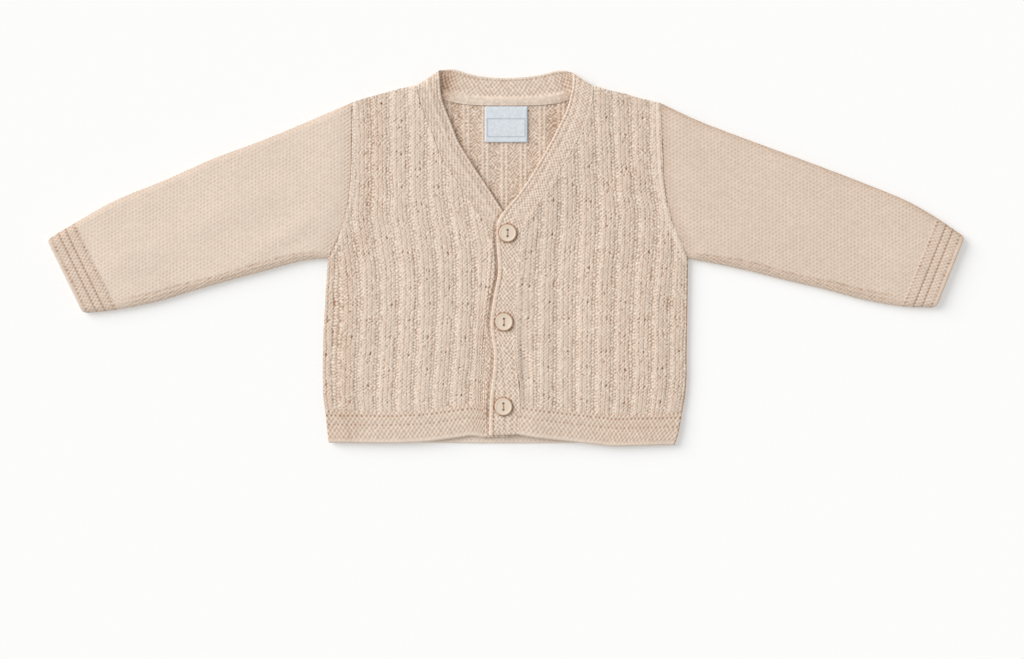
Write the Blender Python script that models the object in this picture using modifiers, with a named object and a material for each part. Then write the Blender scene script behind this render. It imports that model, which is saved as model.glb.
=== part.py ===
"""A knitted baby cardigan, laid flat on its back with its three buttons done up.

Every table is in millimetres: x from the centre line, y up from the lowest point of the hem,
and levels up from the surface that the cardigan lies on. The wearer's left is at +x.
"""
import math
from collections import namedtuple

import bmesh
import bpy
import numpy as np

# Driving dimensions, in millimetres
MM = 0.001
LAY_DEPTH = 251.0
SEAM_GAP = 0.4
LAYER_GAP = 0.3
EDGE_ROUND = 0.55
EDGE_INSET = 1.6

BACK_WALL = 2.0
GUTTER_WALL = 1.5
RIB_WALL = 2.4
RIB_PITCH = 12.67
RIB_CREST = 2.8
RIB_FOOT = 4.6
FIRST_RIB = {"front_left": 24.2, "front_right": -17.4}
FRONT_ROWS = 8
FRONT_LIFT = 0.9
LIFT_RUN = 14.0
FOLD_RUN = 10.0
BAND_RUN = 22.0
PULL_RUN = 26.0
NECK_LOW = 141.0
NECK_STEEP = (150.0, 232.0)
EDGE_COLUMN = 1.4
CORNER_COLUMN = 1.2
CLOSEST_COLUMN = 0.3
CLOSEST_RIB = 1.0
BACK_COLUMN_STEP = 12.0
BACK_ROWS = 6

HEM_HEIGHT = 20.5
HEM_GROOVES = (12.0, 18.0)
HEM_ROWS = (0.0, 1.6, 3.6, 8.0, 12.0, 15.0, 18.0, HEM_HEIGHT)
GROOVE_WALL = 1.5
RIDGE_WALL = 2.3

SLEEVE_WALL = 1.9
SLEEVE_HOLLOW = 1.6
SLEEVE_ROUND = 0.8
SLEEVE_ROWS = 8
SLEEVE_BOW_RUN = 70.0
RING_HALF = 11
CUFF_LENGTH = 20.5
CUFF_GROOVES = (9.0, 14.3)
CUFF_ROWS = (CUFF_LENGTH, 17.4, 14.3, 11.6, 9.0, 6.1, 3.2, 1.2, 0.0)

BAND_WALL = 2.0
BAND_STEP = 9.0
BAND_SHOULDER = (39.0, 48.0)
STRIP_WALL = 1.3
STRIP_SHARE = 0.25
STRIP_SLOPE = 0.11
STRIP_ENDS = (33.0, 37.0)

BUTTON_DIAMETER = 12.0
BUTTON_HEIGHT = 2.4
BUTTON_HOLE = 1.5
BUTTON_HOLE_SPACING = 4.1
BUTTON_SIDES = 16
BUTTON_HOLE_SIDES = 10
BUTTON_PLACES = ((1.1, 141.7), (-1.3, 82.7), (-1.7, 26.5))
# From the middle of the dished face, over the rim and back under: shares of radius and height
BUTTON_PROFILE = (
    (0.0, 0.58), (0.55, 0.58), (0.68, 0.74), (0.80, 1.0), (0.92, 0.92), (1.0, 0.5),
    (0.93, 0.10), (0.80, 0.0), (0.0, 0.0),
)

LABEL_WIDTH = 28.5
LABEL_HEIGHT = 23.9
LABEL_TOP = 226.2
LABEL_WALL = 1.0
LABEL_CURL = 0.25

# Outlines: each row is a point, from the underarm up to the shoulder or along an edge
Point = namedtuple("Point", "x y")

ARMHOLE = {
    "left": (
        Point(121.2, 124.9), Point(117.6, 133.9), Point(113.5, 142.8), Point(108.5, 157.3),
        Point(105.2, 176.0), Point(104.1, 196.3), Point(103.5, 214.0), Point(103.0, 228.3),
    ),
    "right": (
        Point(-118.4, 125.2), Point(-114.4, 133.2), Point(-108.9, 147.3), Point(-105.2, 162.7),
        Point(-103.5, 178.0), Point(-103.0, 192.0), Point(-102.8, 209.0), Point(-102.6, 228.8),
    ),
}
SHOULDER = {
    "left": (
        Point(103.0, 228.3), Point(88.7, 231.7), Point(80.0, 234.4), Point(67.3, 237.2),
        Point(59.0, 239.8),
    ),
    "right": (
        Point(-102.6, 228.8), Point(-94.0, 231.6), Point(-83.3, 234.5), Point(-74.0, 237.1),
        Point(-60.2, 240.2),
    ),
}
SIDE = {
    "left": (
        Point(112.0, 0.0), Point(114.8, 9.0), Point(116.8, 20.0), Point(118.8, 31.0),
        Point(120.0, 42.0),
        Point(120.2, 63.0), Point(120.7, 90.0), Point(121.2, 126.0),
    ),
    "right": (
        Point(-117.8, 0.0), Point(-118.8, 9.0), Point(-120.0, 21.0), Point(-121.6, 33.0),
        Point(-122.0, 50.0), Point(-121.6, 72.0), Point(-120.2, 98.0), Point(-118.4, 126.0),
    ),
}
HEM = {
    "front_left": (
        Point(9.0, 7.8), Point(20.0, 5.8), Point(38.7, 3.6), Point(57.3, 1.6), Point(76.0, 0.0),
        Point(121.2, 0.9),
    ),
    "front_right": (
        Point(-122.0, 2.4), Point(-59.0, 2.6), Point(-33.0, 5.6), Point(-23.0, 6.9), Point(-10.7, 5.7),
    ),
    "back": (Point(-122.0, 2.9), Point(-59.0, 2.4), Point(0.0, 2.0), Point(57.0, 2.2), Point(121.2, 2.8)),
}

# The knitted band: rows from the right front's hem, round the neck, to the left front's hem.
# A section runs from its seam edge to its free edge, and its level is that of the wall's middle.
BandSection = namedtuple("BandSection", "seam_x seam_y free_x free_y level")
BAND_RIGHT = (
    BandSection(-14.2, 5.9, 1.5, 6.2, 3.8),
    BandSection(-14.0, 30.0, 1.8, 30.0, 3.8),
    BandSection(-14.0, 55.0, 2.0, 55.0, 3.8),
    BandSection(-12.0, 96.0, 3.2, 96.0, 3.8),
    BandSection(-8.9, 128.0, 5.6, 127.0, 3.8),
    BandSection(-10.4, 143.5, 3.2, 147.0, 3.8),
    BandSection(-18.1, 155.0, -5.9, 162.7, 3.8),
    BandSection(-33.3, 178.0, -21.0, 185.6, 3.9),
    BandSection(-44.0, 195.0, -31.4, 202.4, 4.0),
    BandSection(-49.7, 210.4, -36.3, 214.5, 4.2),
    BandSection(-54.3, 221.3, -40.4, 224.8, 4.4),
    BandSection(-57.3, 230.7, -43.0, 233.0, 4.6),
    BandSection(-59.0, 237.6, -44.0, 243.5, 4.6),
)
BAND_NECK = (
    BandSection(-59.2, 240.2, -44.4, 249.9, 2.8),
    BandSection(-56.2, 238.2, -41.0, 250.6, 1.0),
    BandSection(-48.5, 233.8, -37.5, 251.0, 1.0),
    BandSection(-41.3, 230.7, -33.3, 250.7, 1.0),
    BandSection(-29.3, 227.9, -24.5, 247.8, 1.0),
    BandSection(-15.0, 226.9, -12.0, 245.8, 1.0),
    BandSection(0.0, 226.7, 0.0, 245.2, 1.0),
    BandSection(15.0, 226.9, 12.5, 245.9, 1.0),
    BandSection(28.7, 227.7, 24.5, 247.6, 1.0),
    BandSection(41.0, 230.2, 34.0, 250.1, 1.0),
    BandSection(48.2, 233.6, 38.0, 250.2, 1.0),
    BandSection(55.3, 237.6, 41.5, 249.6, 1.0),
    BandSection(58.0, 239.7, 44.2, 248.4, 2.8),
)
BAND_LEFT = (
    BandSection(57.9, 237.2, 44.4, 242.6, 4.6),
    BandSection(57.2, 229.5, 42.6, 232.0, 4.6),
    BandSection(54.7, 219.3, 39.9, 222.8, 4.7),
    BandSection(50.5, 209.6, 36.2, 215.2, 4.9),
    BandSection(44.0, 197.3, 31.0, 205.0, 5.2),
    BandSection(36.0, 184.0, 23.4, 191.4, 5.6),
    BandSection(26.5, 168.5, 14.5, 176.6, 6.0),
    BandSection(18.3, 157.5, 6.2, 165.2, 6.2),
    BandSection(12.6, 149.8, -0.8, 157.2, 6.3),
    BandSection(9.6, 142.0, -5.6, 149.3, 6.3),
    BandSection(8.9, 134.0, -6.3, 137.5, 6.3),
    BandSection(7.4, 118.0, -5.2, 119.0, 6.3),
    BandSection(6.0, 96.0, -8.7, 96.5, 6.3),
    BandSection(5.4, 81.0, -10.4, 82.0, 6.3),
    BandSection(6.4, 58.0, -8.0, 59.0, 6.3),
    BandSection(9.2, 30.0, -10.7, 30.0, 6.3),
    BandSection(8.7, 8.0, -11.2, 7.0, 6.3),
)

# Sleeve outlines: a row for each section, from near the armhole to the cuff's edge
SleeveSection = namedtuple("SleeveSection", "top_x top_y low_x low_y")
SLEEVE = {
    "left": (
        SleeveSection(128.0, 216.7, 137.0, 121.9),
        SleeveSection(161.3, 204.0, 160.0, 117.0),
        SleeveSection(197.3, 190.7, 186.0, 110.5),
        SleeveSection(232.7, 177.3, 212.0, 104.4),
        SleeveSection(265.3, 164.0, 240.0, 97.0),
        SleeveSection(286.0, 152.4, 264.0, 93.0),
        SleeveSection(305.2, 139.4, 286.2, 92.2),
    ),
    "right": (
        SleeveSection(-130.7, 216.7, -136.0, 123.2),
        SleeveSection(-161.3, 204.0, -158.0, 117.3),
        SleeveSection(-196.7, 190.7, -182.0, 110.8),
        SleeveSection(-226.7, 177.3, -206.0, 104.0),
        SleeveSection(-259.3, 164.0, -233.0, 95.9),
        SleeveSection(-285.0, 149.8, -259.6, 90.7),
        SleeveSection(-305.4, 137.4, -281.5, 88.5),
    ),
}

# Soft folds in the laid cloth: centre, direction in degrees, half length, half width, height
Fold = namedtuple("Fold", "x y angle length width height")
FOLDS = {
    "front_left": (
        Fold(13.0, 48.0, 92, 26, 4.0, -1.3),
        Fold(24.0, 60.0, 88, 45, 7.0, 0.7),
        Fold(64.0, 96.0, 84, 60, 12.0, 0.6),
        Fold(100.0, 70.0, 97, 48, 10.0, 0.5),
        Fold(84.0, 176.0, 70, 38, 9.0, 0.6),
    ),
    "front_right": (
        Fold(-21.0, 64.0, 92, 52, 8.0, 0.7),
        Fold(-57.0, 92.0, 96, 58, 11.0, 0.6),
        Fold(-98.0, 78.0, 84, 46, 10.0, 0.5),
        Fold(-80.0, 178.0, 108, 36, 9.0, 0.6),
    ),
    "left": (
        Fold(148.0, 140.0, -30, 26, 7.0, 0.8),
        Fold(196.0, 150.0, -24, 42, 10.0, 0.6),
        Fold(262.0, 122.0, -24, 22, 8.0, 0.5),
    ),
    "right": (
        Fold(-146.0, 141.0, 30, 26, 7.0, 0.8),
        Fold(-194.0, 150.0, 24, 42, 10.0, 0.6),
        Fold(-258.0, 120.0, 26, 22, 8.0, 0.5),
    ),
}

Finish = namedtuple("Finish", "colour roughness")
FINISHES = {
    "back": Finish((0.68, 0.54, 0.42), 0.95),
    "front_left": Finish((0.69, 0.56, 0.45), 0.95),
    "front_right": Finish((0.69, 0.56, 0.45), 0.95),
    "sleeve_left": Finish((0.69, 0.56, 0.46), 0.95),
    "sleeve_right": Finish((0.74, 0.62, 0.52), 0.95),
    "front_band": Finish((0.66, 0.53, 0.42), 0.95),
    "label": Finish((0.68, 0.75, 0.80), 0.6),
    "button": Finish((0.64, 0.50, 0.38), 0.4),
}


def clear_scene():
    for thing in list(bpy.data.objects):
        bpy.data.objects.remove(thing, do_unlink=True)


def new_collection(name):
    collection = bpy.data.collections.new(name)
    bpy.context.scene.collection.children.link(collection)
    return collection


def make_material(name, finish):
    material = bpy.data.materials.new(name)
    material.use_nodes = True
    shader = material.node_tree.nodes["Principled BSDF"]
    shader.inputs["Base Color"].default_value = (*finish.colour, 1.0)
    shader.inputs["Roughness"].default_value = finish.roughness
    shader.inputs["Metallic"].default_value = 0.0
    return material


def smooth_curve(knots, values, at):
    """Cubic through the knots, with slopes that never overshoot; straight past both ends."""
    knots = np.asarray(knots, float)
    values = np.asarray(values, float)
    chord = np.diff(values) / np.diff(knots)
    slope = np.concatenate(([chord[0]], (chord[1:] + chord[:-1]) / 2, [chord[-1]]))
    turning = np.concatenate(([False], chord[1:] * chord[:-1] <= 0, [False]))
    slope[turning] = 0.0
    at = np.clip(np.asarray(at, float), knots[0], knots[-1])
    cell = np.clip(np.searchsorted(knots, at, side="right") - 1, 0, len(knots) - 2)
    width = knots[cell + 1] - knots[cell]
    t = (at - knots[cell]) / width
    rise = values[cell + 1] - values[cell]
    first = slope[cell] * width
    last = slope[cell + 1] * width
    return values[cell] + first * t + (3 * rise - 2 * first - last) * t**2 + (first + last - 2 * rise) * t**3


def smooth_step(low, high, at):
    """0 below low, 1 above high, and a smooth rise between them."""
    t = np.clip((np.asarray(at, float) - low) / (high - low), 0.0, 1.0)
    return t * t * (3 - 2 * t)


def columns_of(rows):
    """The rows of a table as one array for each of its named columns."""
    return [np.array(column, float) for column in zip(*rows)]


def cloth_object(name, points, walls, thickest, collection, offset=1.0, tube=False):
    """Open surface lofted over a grid of points, given its wall by Solidify.

    points is rows x columns x 3, in millimetres. walls holds the wall at each point. A tube's
    rows close on themselves. An offset of 1 raises the wall on the side that the faces point to.
    """
    row_count, column_count = walls.shape
    coordinates = points.reshape(-1, 3).copy()
    coordinates[:, 1] -= LAY_DEPTH / 2
    last_column = column_count if tube else column_count - 1
    faces = []
    for row in range(row_count - 1):
        for column in range(last_column):
            beside = (column + 1) % column_count
            here = row * column_count
            above = here + column_count
            faces.append((here + column, here + beside, above + beside, above + column))
    mesh = bpy.data.meshes.new(name)
    mesh.from_pydata((coordinates * MM).tolist(), [], faces)
    mesh.materials.append(make_material(name, FINISHES[name]))
    thing = bpy.data.objects.new(name, mesh)
    collection.objects.link(thing)
    group = thing.vertex_groups.new(name="wall")
    for index, wall in enumerate(walls.ravel()):
        group.add([index], float(wall / thickest), "REPLACE")
    solidify = thing.modifiers.new("wall", "SOLIDIFY")
    solidify.thickness = thickest * MM
    solidify.offset = offset
    solidify.vertex_group = group.name
    mesh.shade_smooth()
    return thing


def drape(thing, heights):
    """Lift a flat sheet's two faces by the same heights, one height for each point of its grid.

    Solidify keeps the grid's points in order and adds the other face's points after them.
    """
    bpy.context.view_layer.update()
    evaluated = thing.evaluated_get(bpy.context.evaluated_depsgraph_get())
    mesh = bpy.data.meshes.new_from_object(evaluated)
    coordinates = np.empty(len(mesh.vertices) * 3)
    mesh.vertices.foreach_get("co", coordinates)
    coordinates = coordinates.reshape(-1, 3)
    lift = heights.ravel() * MM
    coordinates[:, 2] += np.resize(lift, len(coordinates))
    mesh.vertices.foreach_set("co", coordinates.ravel())
    mesh.update()
    flat_mesh = thing.data
    thing.modifiers.clear()
    thing.data = mesh
    bpy.data.meshes.remove(flat_mesh)
    mesh.name = thing.name


def fold_height(x, y, folds):
    """Sum of soft ridges and troughs, each a bell across its width and along its length."""
    height = np.zeros_like(x)
    for fold in folds:
        turn = math.radians(fold.angle)
        along = (x - fold.x) * math.cos(turn) + (y - fold.y) * math.sin(turn)
        across = (y - fold.y) * math.cos(turn) - (x - fold.x) * math.sin(turn)
        height += fold.height * np.exp(-(along / fold.length) ** 2 - (across / fold.width) ** 2)
    return height


def band_stations():
    """Seam edge, free edge and level of the band at close stations along its whole length."""
    rows = BAND_RIGHT + BAND_NECK + BAND_LEFT
    seam_x, seam_y, free_x, free_y, level = columns_of(rows)
    middle = np.stack([(seam_x + free_x) / 2, (seam_y + free_y) / 2, level])
    knots = np.concatenate(([0.0], np.cumsum(np.linalg.norm(np.diff(middle), axis=0))))
    stations = [0.0]
    for start, end in zip(knots[:-1], knots[1:]):
        pieces = max(1, round((end - start) / BAND_STEP))
        stations.extend(start + (end - start) * np.arange(1, pieces + 1) / pieces)
    edges = [smooth_curve(knots, column, stations) for column in (seam_x, seam_y, free_x, free_y, level)]
    neck_start = knots[len(BAND_RIGHT)]
    neck_end = knots[len(BAND_RIGHT) + len(BAND_NECK) - 1]
    return np.array(stations), edges, neck_start, neck_end


def front_seam(side):
    """The band's seam edge on one front, from hem to shoulder, moved out by the seam gap."""
    stations, (seam_x, seam_y, _, _, level), neck_start, neck_end = band_stations()
    on_front = stations < neck_start if side == "right" else stations > neck_end
    x = seam_x[on_front]
    y = seam_y[on_front]
    height = level[on_front]
    if side == "left":
        x, y, height = x[::-1], y[::-1], height[::-1]
    way = -1.0 if side == "right" else 1.0
    run = np.stack([np.gradient(x), np.gradient(y)])
    run /= np.linalg.norm(run, axis=0)
    return x + way * run[1] * SEAM_GAP, y - way * run[0] * SEAM_GAP, height


def along_line(points_x, points_y, shares):
    """Points at the given shares of the length of a smooth line through the points."""
    steps = np.hypot(np.diff(points_x), np.diff(points_y))
    length = np.concatenate(([0.0], np.cumsum(steps)))
    knots = length / length[-1]
    return smooth_curve(knots, points_x, shares), smooth_curve(knots, points_y, shares)


def ring_shares(inset=0.0):
    """Shares of a flattened ring's width at its points, closest together at both edges."""
    across = (1 - np.cos(np.linspace(0.0, math.pi, RING_HALF + 1))) / 2
    return inset + (1 - 2 * inset) * across


def armhole_curve(side):
    """The armhole from underarm to shoulder, with a point for each point of the sleeve's ring."""
    arm_x, arm_y = columns_of(ARMHOLE[side])
    length = np.hypot(np.diff(arm_x), np.diff(arm_y)).sum()
    shares = ring_shares(SLEEVE_WALL / length)
    shares[0] = 0.0
    shares[-1] = 1.0
    return along_line(arm_x, arm_y, shares)


def rib_wall(x, first_rib):
    """Wall across the ribs: a flat crest, sides that fall away, and a thin gutter between."""
    from_crest = np.abs((x - first_rib + RIB_PITCH / 2) % RIB_PITCH - RIB_PITCH / 2)
    return RIB_WALL - (RIB_WALL - GUTTER_WALL) * smooth_step(RIB_CREST, RIB_FOOT, from_crest)


def rib_columns(low, high, first_rib):
    """Columns at the crest edges and the feet of every rib between two places."""
    columns = []
    first = math.floor((low - first_rib) / RIB_PITCH)
    last = math.ceil((high - first_rib) / RIB_PITCH)
    for number in range(first, last + 1):
        centre = first_rib + number * RIB_PITCH
        columns.extend(centre + shift for shift in (-RIB_FOOT, -RIB_CREST, RIB_CREST, RIB_FOOT))
    return [column for column in columns if low < column < high]


def thin_out(places, closest):
    """Sorted places with none nearer to the one before than the closest distance allowed."""
    kept = [min(places)]
    for place in sorted(places)[1:]:
        if place - kept[-1] >= closest:
            kept.append(place)
    return np.array(kept)


def hem_wall(above_hem):
    """Wall up from the hem's edge: a rolled edge, then ridges with a groove at each stitch line."""
    wall = np.full_like(above_hem, RIDGE_WALL)
    for groove in HEM_GROOVES:
        wall -= (RIDGE_WALL - GROOVE_WALL) * (1 - smooth_step(0.0, 1.5, np.abs(above_hem - groove)))
    return wall


def build_front(name, side, collection):
    """One front: columns run up from the hem to the armhole, shoulder or neck seam."""
    way = -1.0 if side == "right" else 1.0
    seam_x, seam_y, seam_level = front_seam(side)
    arm_x, arm_y = armhole_curve(side)
    shoulder_x, shoulder_y = columns_of(SHOULDER[side])
    neck = seam_y >= NECK_LOW
    neck_x = way * seam_x[neck]
    neck_y = seam_y[neck]
    neck_point = neck_x.min()
    rising = np.concatenate(([True], np.diff(np.maximum.accumulate(neck_x)) > SEAM_GAP / 8))
    top_x = np.concatenate((neck_x[rising], way * shoulder_x[::-1], way * arm_x[::-1][1:]))
    top_y = np.concatenate((neck_y[rising], shoulder_y[::-1], arm_y[::-1][1:]))

    far = way * arm_x[0]
    neck_corner = way * shoulder_x[-1]
    arm_corner = way * arm_x[-1]
    marks = [neck_point, neck_point + EDGE_COLUMN, neck_corner, neck_corner + CORNER_COLUMN]
    marks += [arm_corner - CORNER_COLUMN, arm_corner, far - EDGE_COLUMN, far]
    marks += list(way * arm_x[1:-1])
    neck_rows = BAND_RIGHT if side == "right" else BAND_LEFT
    marks += [way * row.seam_x for row in neck_rows if NECK_STEEP[0] < row.seam_y < NECK_STEEP[1]]
    ribs = rib_columns(neck_point + EDGE_COLUMN, far - EDGE_COLUMN, way * FIRST_RIB[name])
    ribs = [rib for rib in ribs if min(abs(rib - mark) for mark in marks) > CLOSEST_RIB]
    columns = thin_out(marks + ribs, CLOSEST_COLUMN)
    top = np.interp(columns, top_x, top_y)

    hem_x, hem_y = columns_of(HEM[name])
    bottom = smooth_curve(hem_x, hem_y, way * columns)
    shares = np.linspace(0.0, 1.0, FRONT_ROWS + 1)[1:]
    above = top - EDGE_INSET - bottom - HEM_HEIGHT
    rows = [bottom + row for row in HEM_ROWS]
    rows += [bottom + HEM_HEIGHT + above * share for share in shares]
    rows.append(top)
    y = np.array(rows)
    nominal = np.broadcast_to(columns, y.shape)

    side_x, side_y = columns_of(SIDE[side])
    side_pull = way * smooth_curve(side_y, side_x, y) - far
    order = np.argsort(seam_y)
    front_pull = way * np.interp(y, seam_y[order], seam_x[order]) - neck_point
    front_pull = np.where(y < neck_y[0], front_pull, 0.0)
    near_side = smooth_step(0.0, 1.0, (nominal - neck_point) / (far - neck_point)) ** 2
    near_front = np.exp(-((nominal - neck_point) / PULL_RUN) ** 2)
    x = way * (nominal + side_pull * near_side + front_pull * near_front)

    seam_here = np.interp(y, seam_y[order], seam_x[order])
    level_here = np.interp(y, seam_y[order], seam_level[order]) - BAND_WALL / 2
    from_side = np.abs(way * x - (far + side_pull))
    from_shoulder = np.maximum(np.interp(way * x, way * shoulder_x[::-1], shoulder_y[::-1]) - y, 0.0)
    lowest = BACK_WALL + LAYER_GAP
    folds = fold_height(x, y, FOLDS[name])
    inside = (1 - np.exp(-from_side / LIFT_RUN)) * (1 - np.exp(-from_shoulder / LIFT_RUN))
    body = lowest + FRONT_LIFT * inside + folds * (1 - np.exp(-from_side / FOLD_RUN))
    beside_band = np.exp(-((x - seam_here) / BAND_RUN) ** 2)
    z = body * (1 - beside_band) + (level_here + np.minimum(folds, 0.0)) * beside_band
    z = np.maximum(z, lowest)

    wall = rib_wall(nominal, way * FIRST_RIB[name])
    above_hem = y - bottom
    wall = np.where(above_hem < HEM_HEIGHT - 1.0, hem_wall(above_hem), wall)
    edge = np.ones_like(wall)
    edge[0] = edge[-1] = EDGE_ROUND
    edge[:, 0] = edge[:, -1] = EDGE_ROUND
    wall *= edge
    if side == "right":
        x, y, z, wall = x[:, ::-1], y[:, ::-1], z[:, ::-1], wall[:, ::-1]
    flat = np.stack([x, y, np.zeros_like(x)], axis=-1)
    front = cloth_object(name, flat, wall, RIB_WALL, collection)
    drape(front, z)


def neck_edge(side):
    """The back panel's neck edge: under the band's inner strip, then beside it at the shoulder."""
    seam_x = np.array([row.seam_x for row in BAND_NECK])
    seam_y = np.array([row.seam_y for row in BAND_NECK])
    free_y = np.array([row.free_y for row in BAND_NECK])
    under_strip = 1 - smooth_step(*STRIP_ENDS, np.abs(seam_x))
    below_band = (1 - under_strip) * 3 * SEAM_GAP
    edge_y = seam_y + under_strip * STRIP_SHARE * (free_y - seam_y) - below_band
    half = seam_x <= 0 if side == "right" else seam_x >= 0
    return seam_x[half], edge_y[half]


def build_back(collection):
    """The back panel, plain, with its flat underside on the surface."""
    left_neck_x, left_neck_y = neck_edge("left")
    right_neck_x, right_neck_y = neck_edge("right")
    right_arm_x, right_arm_y = columns_of(ARMHOLE["right"])
    left_arm_x, left_arm_y = columns_of(ARMHOLE["left"])
    right_shoulder_x, right_shoulder_y = columns_of(SHOULDER["right"])
    left_shoulder_x, left_shoulder_y = columns_of(SHOULDER["left"])
    top_x = np.concatenate((right_arm_x, right_shoulder_x[1:], right_neck_x[1:],
                            left_neck_x[1:-1], left_shoulder_x[::-1], left_arm_x[::-1][1:]))
    top_y = np.concatenate((right_arm_y, right_shoulder_y[1:], right_neck_y[1:],
                            left_neck_y[1:-1], left_shoulder_y[::-1], left_arm_y[::-1][1:]))
    marks = list(top_x) + [top_x[0] + EDGE_COLUMN, top_x[-1] - EDGE_COLUMN]
    places = BACK_COLUMN_STEP * np.arange(-8, 9)
    between = [place for place in places if np.abs(top_x - place).min() > BACK_COLUMN_STEP / 3]
    columns = thin_out(marks + between, CLOSEST_COLUMN)
    top = np.interp(columns, top_x, top_y)
    hem_x, hem_y = columns_of(HEM["back"])
    bottom = smooth_curve(hem_x, hem_y, columns)
    shares = np.linspace(0.0, 1.0, BACK_ROWS + 1)
    rows = [bottom]
    rows += [bottom + EDGE_INSET + (top - bottom - 2 * EDGE_INSET) * share for share in shares]
    rows.append(top)
    y = np.array(rows)
    nominal = np.broadcast_to(columns, y.shape)
    x = nominal.copy()
    for side in ("left", "right"):
        side_x, side_y = columns_of(SIDE[side])
        far = ARMHOLE[side][0].x
        pull = smooth_curve(side_y, side_x, y) - far
        x += pull * smooth_step(0.0, 1.0, nominal / far) ** 2
    wall = np.full_like(y, BACK_WALL)
    wall[0] = wall[-1] = EDGE_ROUND * BACK_WALL
    wall[:, 0] = wall[:, -1] = EDGE_ROUND * BACK_WALL
    points = np.stack([x, y, np.zeros_like(x)], axis=-1)
    cloth_object("back", points, wall, BACK_WALL, collection)


def build_sleeve(name, side, collection):
    """A flattened tube: rings from the armhole curve to the cuff's straight edge."""
    arm_x, arm_y = (line[::-1] for line in armhole_curve(side))
    run = np.stack([np.gradient(arm_x), np.gradient(arm_y)])
    run /= np.linalg.norm(run, axis=0)
    way = 1.0 if side == "left" else -1.0
    arm_x = arm_x - way * run[1] * SEAM_GAP
    arm_y = arm_y + way * run[0] * SEAM_GAP

    top_x, top_y, low_x, low_y = columns_of(SLEEVE[side])
    top_x = np.concatenate(([arm_x[0]], top_x))
    top_y = np.concatenate(([arm_y[0]], top_y))
    low_x = np.concatenate(([arm_x[-1]], low_x))
    low_y = np.concatenate(([arm_y[-1]], low_y))
    middle = np.stack([(top_x + low_x) / 2, (top_y + low_y) / 2])
    knots = np.concatenate(([0.0], np.cumsum(np.linalg.norm(np.diff(middle), axis=0))))
    cuff_start = knots[-1] - CUFF_LENGTH
    middle_rows = np.linspace(20.0, cuff_start - 14.0, SLEEVE_ROWS)
    body = np.concatenate(([0.0, 2.0, 9.0], middle_rows, [cuff_start - 2.0]))
    stations = np.concatenate((body, knots[-1] - np.array(CUFF_ROWS)))
    top = np.stack([smooth_curve(knots, top_x, stations), smooth_curve(knots, top_y, stations)], axis=-1)
    low = np.stack([smooth_curve(knots, low_x, stations), smooth_curve(knots, low_y, stations)], axis=-1)
    down = (low - top) / np.linalg.norm(low - top, axis=-1)[:, None]
    low_run = np.gradient(low, stations, axis=0)
    low_run /= np.linalg.norm(low_run, axis=-1)[:, None]
    top = top + SLEEVE_WALL * down
    low = low + way * SLEEVE_WALL * np.stack([-low_run[:, 1], low_run[:, 0]], axis=-1)

    across = ring_shares()
    across = np.concatenate((across, across[-2:0:-1]))
    upper = np.arange(len(across)) <= RING_HALF
    share = np.broadcast_to(across, (len(stations), len(across)))
    bow_x, bow_y = along_line(arm_x, arm_y, share)
    chord_x = arm_x[0] + (arm_x[-1] - arm_x[0]) * share
    chord_y = arm_y[0] + (arm_y[-1] - arm_y[0]) * share
    fade = (1 - smooth_step(0.0, SLEEVE_BOW_RUN, stations))[:, None]
    x = top[:, :1] + (low[:, :1] - top[:, :1]) * share + (bow_x - chord_x) * fade
    y = top[:, 1:] + (low[:, 1:] - top[:, 1:]) * share + (bow_y - chord_y) * fade

    crown = np.abs(2 * across - 1)
    edge_level = 0.35 * SLEEVE_HOLLOW
    rise = edge_level + (SLEEVE_HOLLOW - edge_level) * np.sqrt(np.maximum(1 - crown**8, 0.0))
    at_edge = (across < 1e-6) | (across > 1 - 1e-6)
    profile = np.where(upper, rise, 0.0)
    profile = np.where(at_edge, edge_level, profile)
    z = SLEEVE_WALL + np.broadcast_to(profile, x.shape).copy()
    lift = fold_height(x, y, FOLDS[side]) * np.sqrt(np.maximum(1 - crown**4, 0.0))
    z += np.where(upper, lift, 0.0)

    from_end = knots[-1] - stations
    wall_along = np.where(from_end <= CUFF_LENGTH, RIDGE_WALL, SLEEVE_WALL)
    for groove in CUFF_GROOVES:
        wall_along = np.where(np.abs(from_end - groove) < 0.1, GROOVE_WALL, wall_along)
    wall = np.where(upper & ~at_edge, wall_along[:, None], SLEEVE_WALL)
    wall[0] *= SLEEVE_ROUND
    wall[-1] *= SLEEVE_ROUND
    wall[-1, ~upper] = wall[0, ~upper] = SLEEVE_WALL
    points = np.stack([x, y, z], axis=-1)
    if side == "right":
        points, wall = points[:, ::-1], wall[:, ::-1]
    cloth_object(name, points, wall, RIDGE_WALL, collection, tube=True)


def build_band(collection):
    """The band: one strip up the right front, folded over both shoulders, down the left front."""
    stations, (seam_x, seam_y, free_x, free_y, level), neck_start, neck_end = band_stations()
    shares = np.array([0.0, 0.07, STRIP_SHARE, STRIP_SHARE + STRIP_SLOPE, 0.65, 0.93, 1.0])
    x = seam_x[:, None] + (free_x - seam_x)[:, None] * shares
    y = seam_y[:, None] + (free_y - seam_y)[:, None] * shares
    on_neck = (stations > neck_start) & (stations < neck_end)
    strip = np.where(on_neck, 1 - smooth_step(*BAND_SHOULDER, np.abs(seam_x)), 0.0)[:, None]
    in_strip = 1 - smooth_step(STRIP_SHARE, STRIP_SHARE + STRIP_SLOPE, shares)
    strip_level = BACK_WALL + LAYER_GAP + STRIP_WALL / 2
    z = level[:, None] + (strip_level - BAND_WALL / 2) * strip * in_strip
    wall = BAND_WALL - (BAND_WALL - STRIP_WALL) * strip * in_strip
    wall[:, 0] *= EDGE_ROUND
    wall[:, -1] *= EDGE_ROUND
    wall[0] *= EDGE_ROUND
    wall[-1] *= EDGE_ROUND
    points = np.stack([x, y, z], axis=-1)
    cloth_object("front_band", points, wall, BAND_WALL, collection, offset=0.0)


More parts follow.
